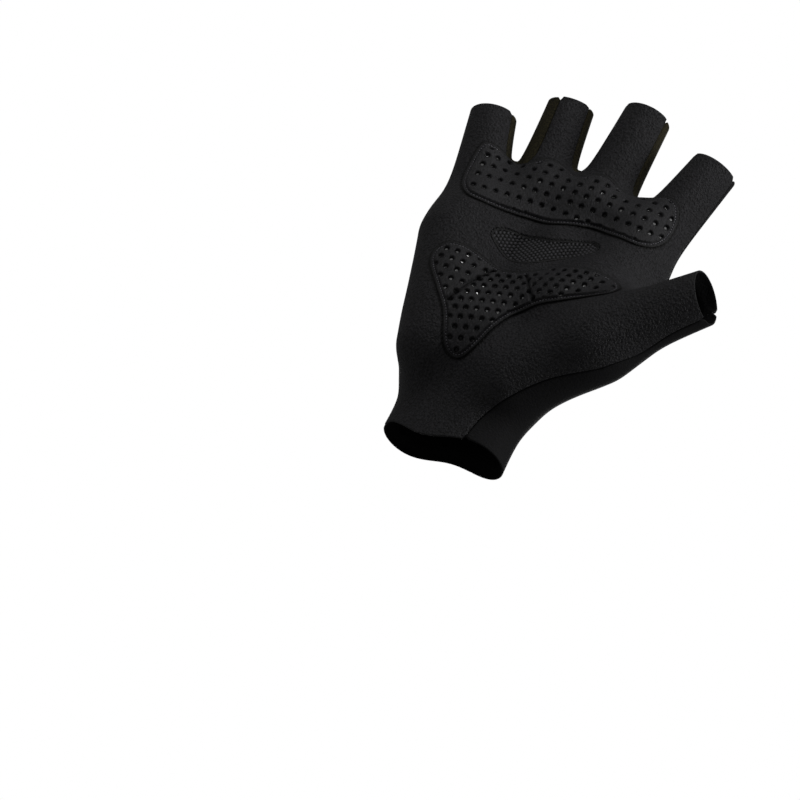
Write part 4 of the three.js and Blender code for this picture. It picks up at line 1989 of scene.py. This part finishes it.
@dataclass
class Vent:
    """The woven mesh in the palm's opening, with its plain turned edge."""

    column: float = 1.25
    row: float = 0.85
    half_width: float = 0.56
    half_length: float = 0.84
    height: float = 0.5
    drop: float = 0.35
    frame: float = 1.0
    frame_lean: float = 0.75
    frame_way: Place = (0.6, 0, -0.8)
    frame_fade: float = 0.08
    rim: float = 0.6
    edge_roll: float = 0.25
    thread_inset: float = 0.22
    thread_pitch: float = 1.27
    thread_length: float = 0.7
    net_step: float = 0.8

    def threads(self, points: Array) -> Array:
        """How high on a thread each point is, from 0 in the gaps to 1.

        Args:
            points: Places of the skin.

        Returns:
            The share of a thread's height at each.
        """
        best = np.zeros(len(points))
        column = np.round(points[:, 0] / self.column)
        for shift in (-1, 0, 1):
            near = column + shift
            half = np.mod(near, 2) * self.row
            centre = np.round((points[:, 2] - half) / (2 * self.row)) * 2 * self.row + half
            aside = (points[:, 0] - near * self.column) / self.half_width
            along = (points[:, 2] - centre) / self.half_length
            best = np.maximum(best, np.sqrt(np.clip(1 - aside**2 - along**2, 0, 1)))
        return best

    def woven(self, points: Array, inset: Array) -> Array:
        """Where the weave shows, from 0 on the plain edge to 1.

        Args:
            points: Places of the skin.
            inset: How far inside the border each point is.

        Returns:
            The share of the weave at each.
        """
        lean = np.clip(FORM.normals(points) @ np.array(self.frame_way), 0, 1)
        over = inset - self.frame + self.frame_lean * lean
        return ramp(over, -self.frame_fade, self.frame_fade)

    def relief(self, points: Array, inset: Array) -> Array:
        """The height of the woven threads over the mesh's level."""
        return self.height * (self.threads(points) - 1) * self.woven(points, inset)

    def build(self) -> None:
        """Builds and dresses the mesh and the stitches round it."""
        skin = net_of_form(VENT_NET_LOW, VENT_NET_HIGH, self.net_step, halvings=2)
        edge = Edge([OutlineCut(VENT_LINE, within=True)])
        cloth = Cloth(skin, edge, lift=-self.drop, rim=self.rim, seam_roll=self.edge_roll,
                      relief=self.relief)
        points, faces, inset, side = cloth.build()
        base = FORM.settle(points, 0.0)
        # The threads' heights feed the painted shade in the weave's gaps
        readings = {"woven": self.woven(base, inset), "thread": self.threads(base), "from_edge": inset}
        piece = Solid(points, faces, side, readings).show("vent_mesh", VENT_WEAVE.make(), LINING.make())
        hand_in(piece, Slot.VENT_MESH, "palm_vent")
        FLAT_CUTS["vent_mesh"].declare(piece, ["palm_cloth"])
        seam = Stitches("vent_stitches", edge, self.thread_inset, -self.drop,
                        self.thread_pitch, self.thread_length)
        seam.build(VENT_LINE, VENT_THREAD, Slot.VENT_MESH)


@dataclass(frozen=True)
class Lamp:
    """A soft round lamp, with its place and width in metres and its power in watts."""

    name: str
    place: Place
    width: float
    power: float


LAMPS = (
    Lamp("key_light", (-0.68, 0.68, 1.11), 0.5, 4.2),
    Lamp("glint_light", (0.05, 0.72, 1.12), 0.06, 1),
    Lamp("thumb_light", (-1.34, 0.11, 0.51), 0.5, 9),
    Lamp("top_light", (0.33, 0.97, 1.04), 0.5, 2),
    Lamp("little_light", (1.1, 0.82, 0.33), 0.5, 1.3),
    Lamp("back_light", (0.2, -1.1, 0.5), 0.8, 6),
)


@dataclass
class Studio:
    """A pale floor and world, soft lights and the photograph's camera."""

    lens: float = 360.0
    sensor: float = 36.0
    sight: Flat = (0.1, 100.0)
    aim: Place = (0, 0, 0.08)
    backdrop: tuple = (1, 1, 1, 1)
    seen_light: float = 1.0
    cast_light: float = 0.16
    floor_z: float = -2.5
    floor_size: float = 60.0
    floor_grey: float = 0.9
    floor_roughness: float = 0.9

    def camera(self) -> None:
        """Sets the camera to the palm's view."""
        right, down, ahead = PALM_VIEW.axes
        lens = bpy.data.cameras.new("photo_camera")
        lens.lens, lens.sensor_width = self.lens, self.sensor
        lens.clip_start, lens.clip_end = self.sight
        camera = bpy.data.objects.new("photo_camera", lens)
        axes = np.stack([right, -down, -ahead], 1)
        camera.matrix_world = Matrix.Translation(PALM_VIEW.place * MM) @ Matrix(axes).to_4x4()
        bpy.context.scene.collection.objects.link(camera)
        bpy.context.scene.camera = camera

    def world(self) -> None:
        """A white backdrop that lights the glove more softly than it shows."""
        board = Board(bpy.data.worlds.new("studio"))
        cast, seen = (
            board.node("ShaderNodeBackground", {}, {"Color": self.backdrop, "Strength": strength})
            for strength in (self.cast_light, self.seen_light)
        )
        by_camera = board.node("ShaderNodeLightPath", {}, {}, "Is Camera Ray")
        shade = board.node("ShaderNodeMixShader", {}, {0: by_camera, 1: cast, 2: seen})
        board.node("ShaderNodeOutputWorld", {}, {"Surface": shade})
        bpy.context.scene.world = board.owner
        bpy.context.scene.view_settings.view_transform = "Standard"

    def floor(self) -> None:
        """A plain pale floor far below."""
        half = self.floor_size / 2
        corners = [(x * half, y * half, self.floor_z) for x, y in ((-1, -1), (1, -1), (1, 1), (-1, 1))]
        mesh = bpy.data.meshes.new("floor")
        mesh.from_pydata(corners, [], [(0, 1, 2, 3)])
        floor = bpy.data.objects.new("floor", mesh)
        pale = {"Base Color": (*(self.floor_grey,) * 3, 1), "Roughness": self.floor_roughness}
        mesh.materials.append(Board(bpy.data.materials.new("floor")).finish(pale))
        bpy.context.scene.collection.objects.link(floor)

    def hang(self, lamp: Lamp) -> None:
        """Adds a soft light, aimed at the glove's middle.

        Args:
            lamp: The lamp to hang.
        """
        light = bpy.data.lights.new(lamp.name, "AREA")
        light.shape, light.size, light.energy = "DISK", lamp.width, lamp.power
        made = bpy.data.objects.new(lamp.name, light)
        made.location = lamp.place
        made.rotation_mode = "QUATERNION"
        aim = Vector(self.aim) - Vector(lamp.place)
        made.rotation_quaternion = aim.to_track_quat("-Z", "Y")
        bpy.context.scene.collection.objects.link(made)

    def build(self) -> None:
        """Sets up the whole studio."""
        self.camera()
        self.world()
        self.floor()
        for lamp in LAMPS:
            self.hang(lamp)


def main() -> None:
    """Builds the glove and its studio."""
    logging.basicConfig(level=logging.INFO, format="%(name)s: %(message)s")
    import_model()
    Studio().build()
    Panels().build()
    Pad("knuckle_cushion", ("knuckle_pad",), KNUCKLE_LINE, (KNUCKLE_ROWS,)).build()
    heel_nodes = ("heel_pad_thumb", "heel_pad_middle", "heel_pad_outer")
    Pad("heel_cushion", heel_nodes, HEEL_LINE, HEEL_ROWS, HEEL_GROOVES).build()
    Vent().build()


if __name__ == "__main__":
    main()
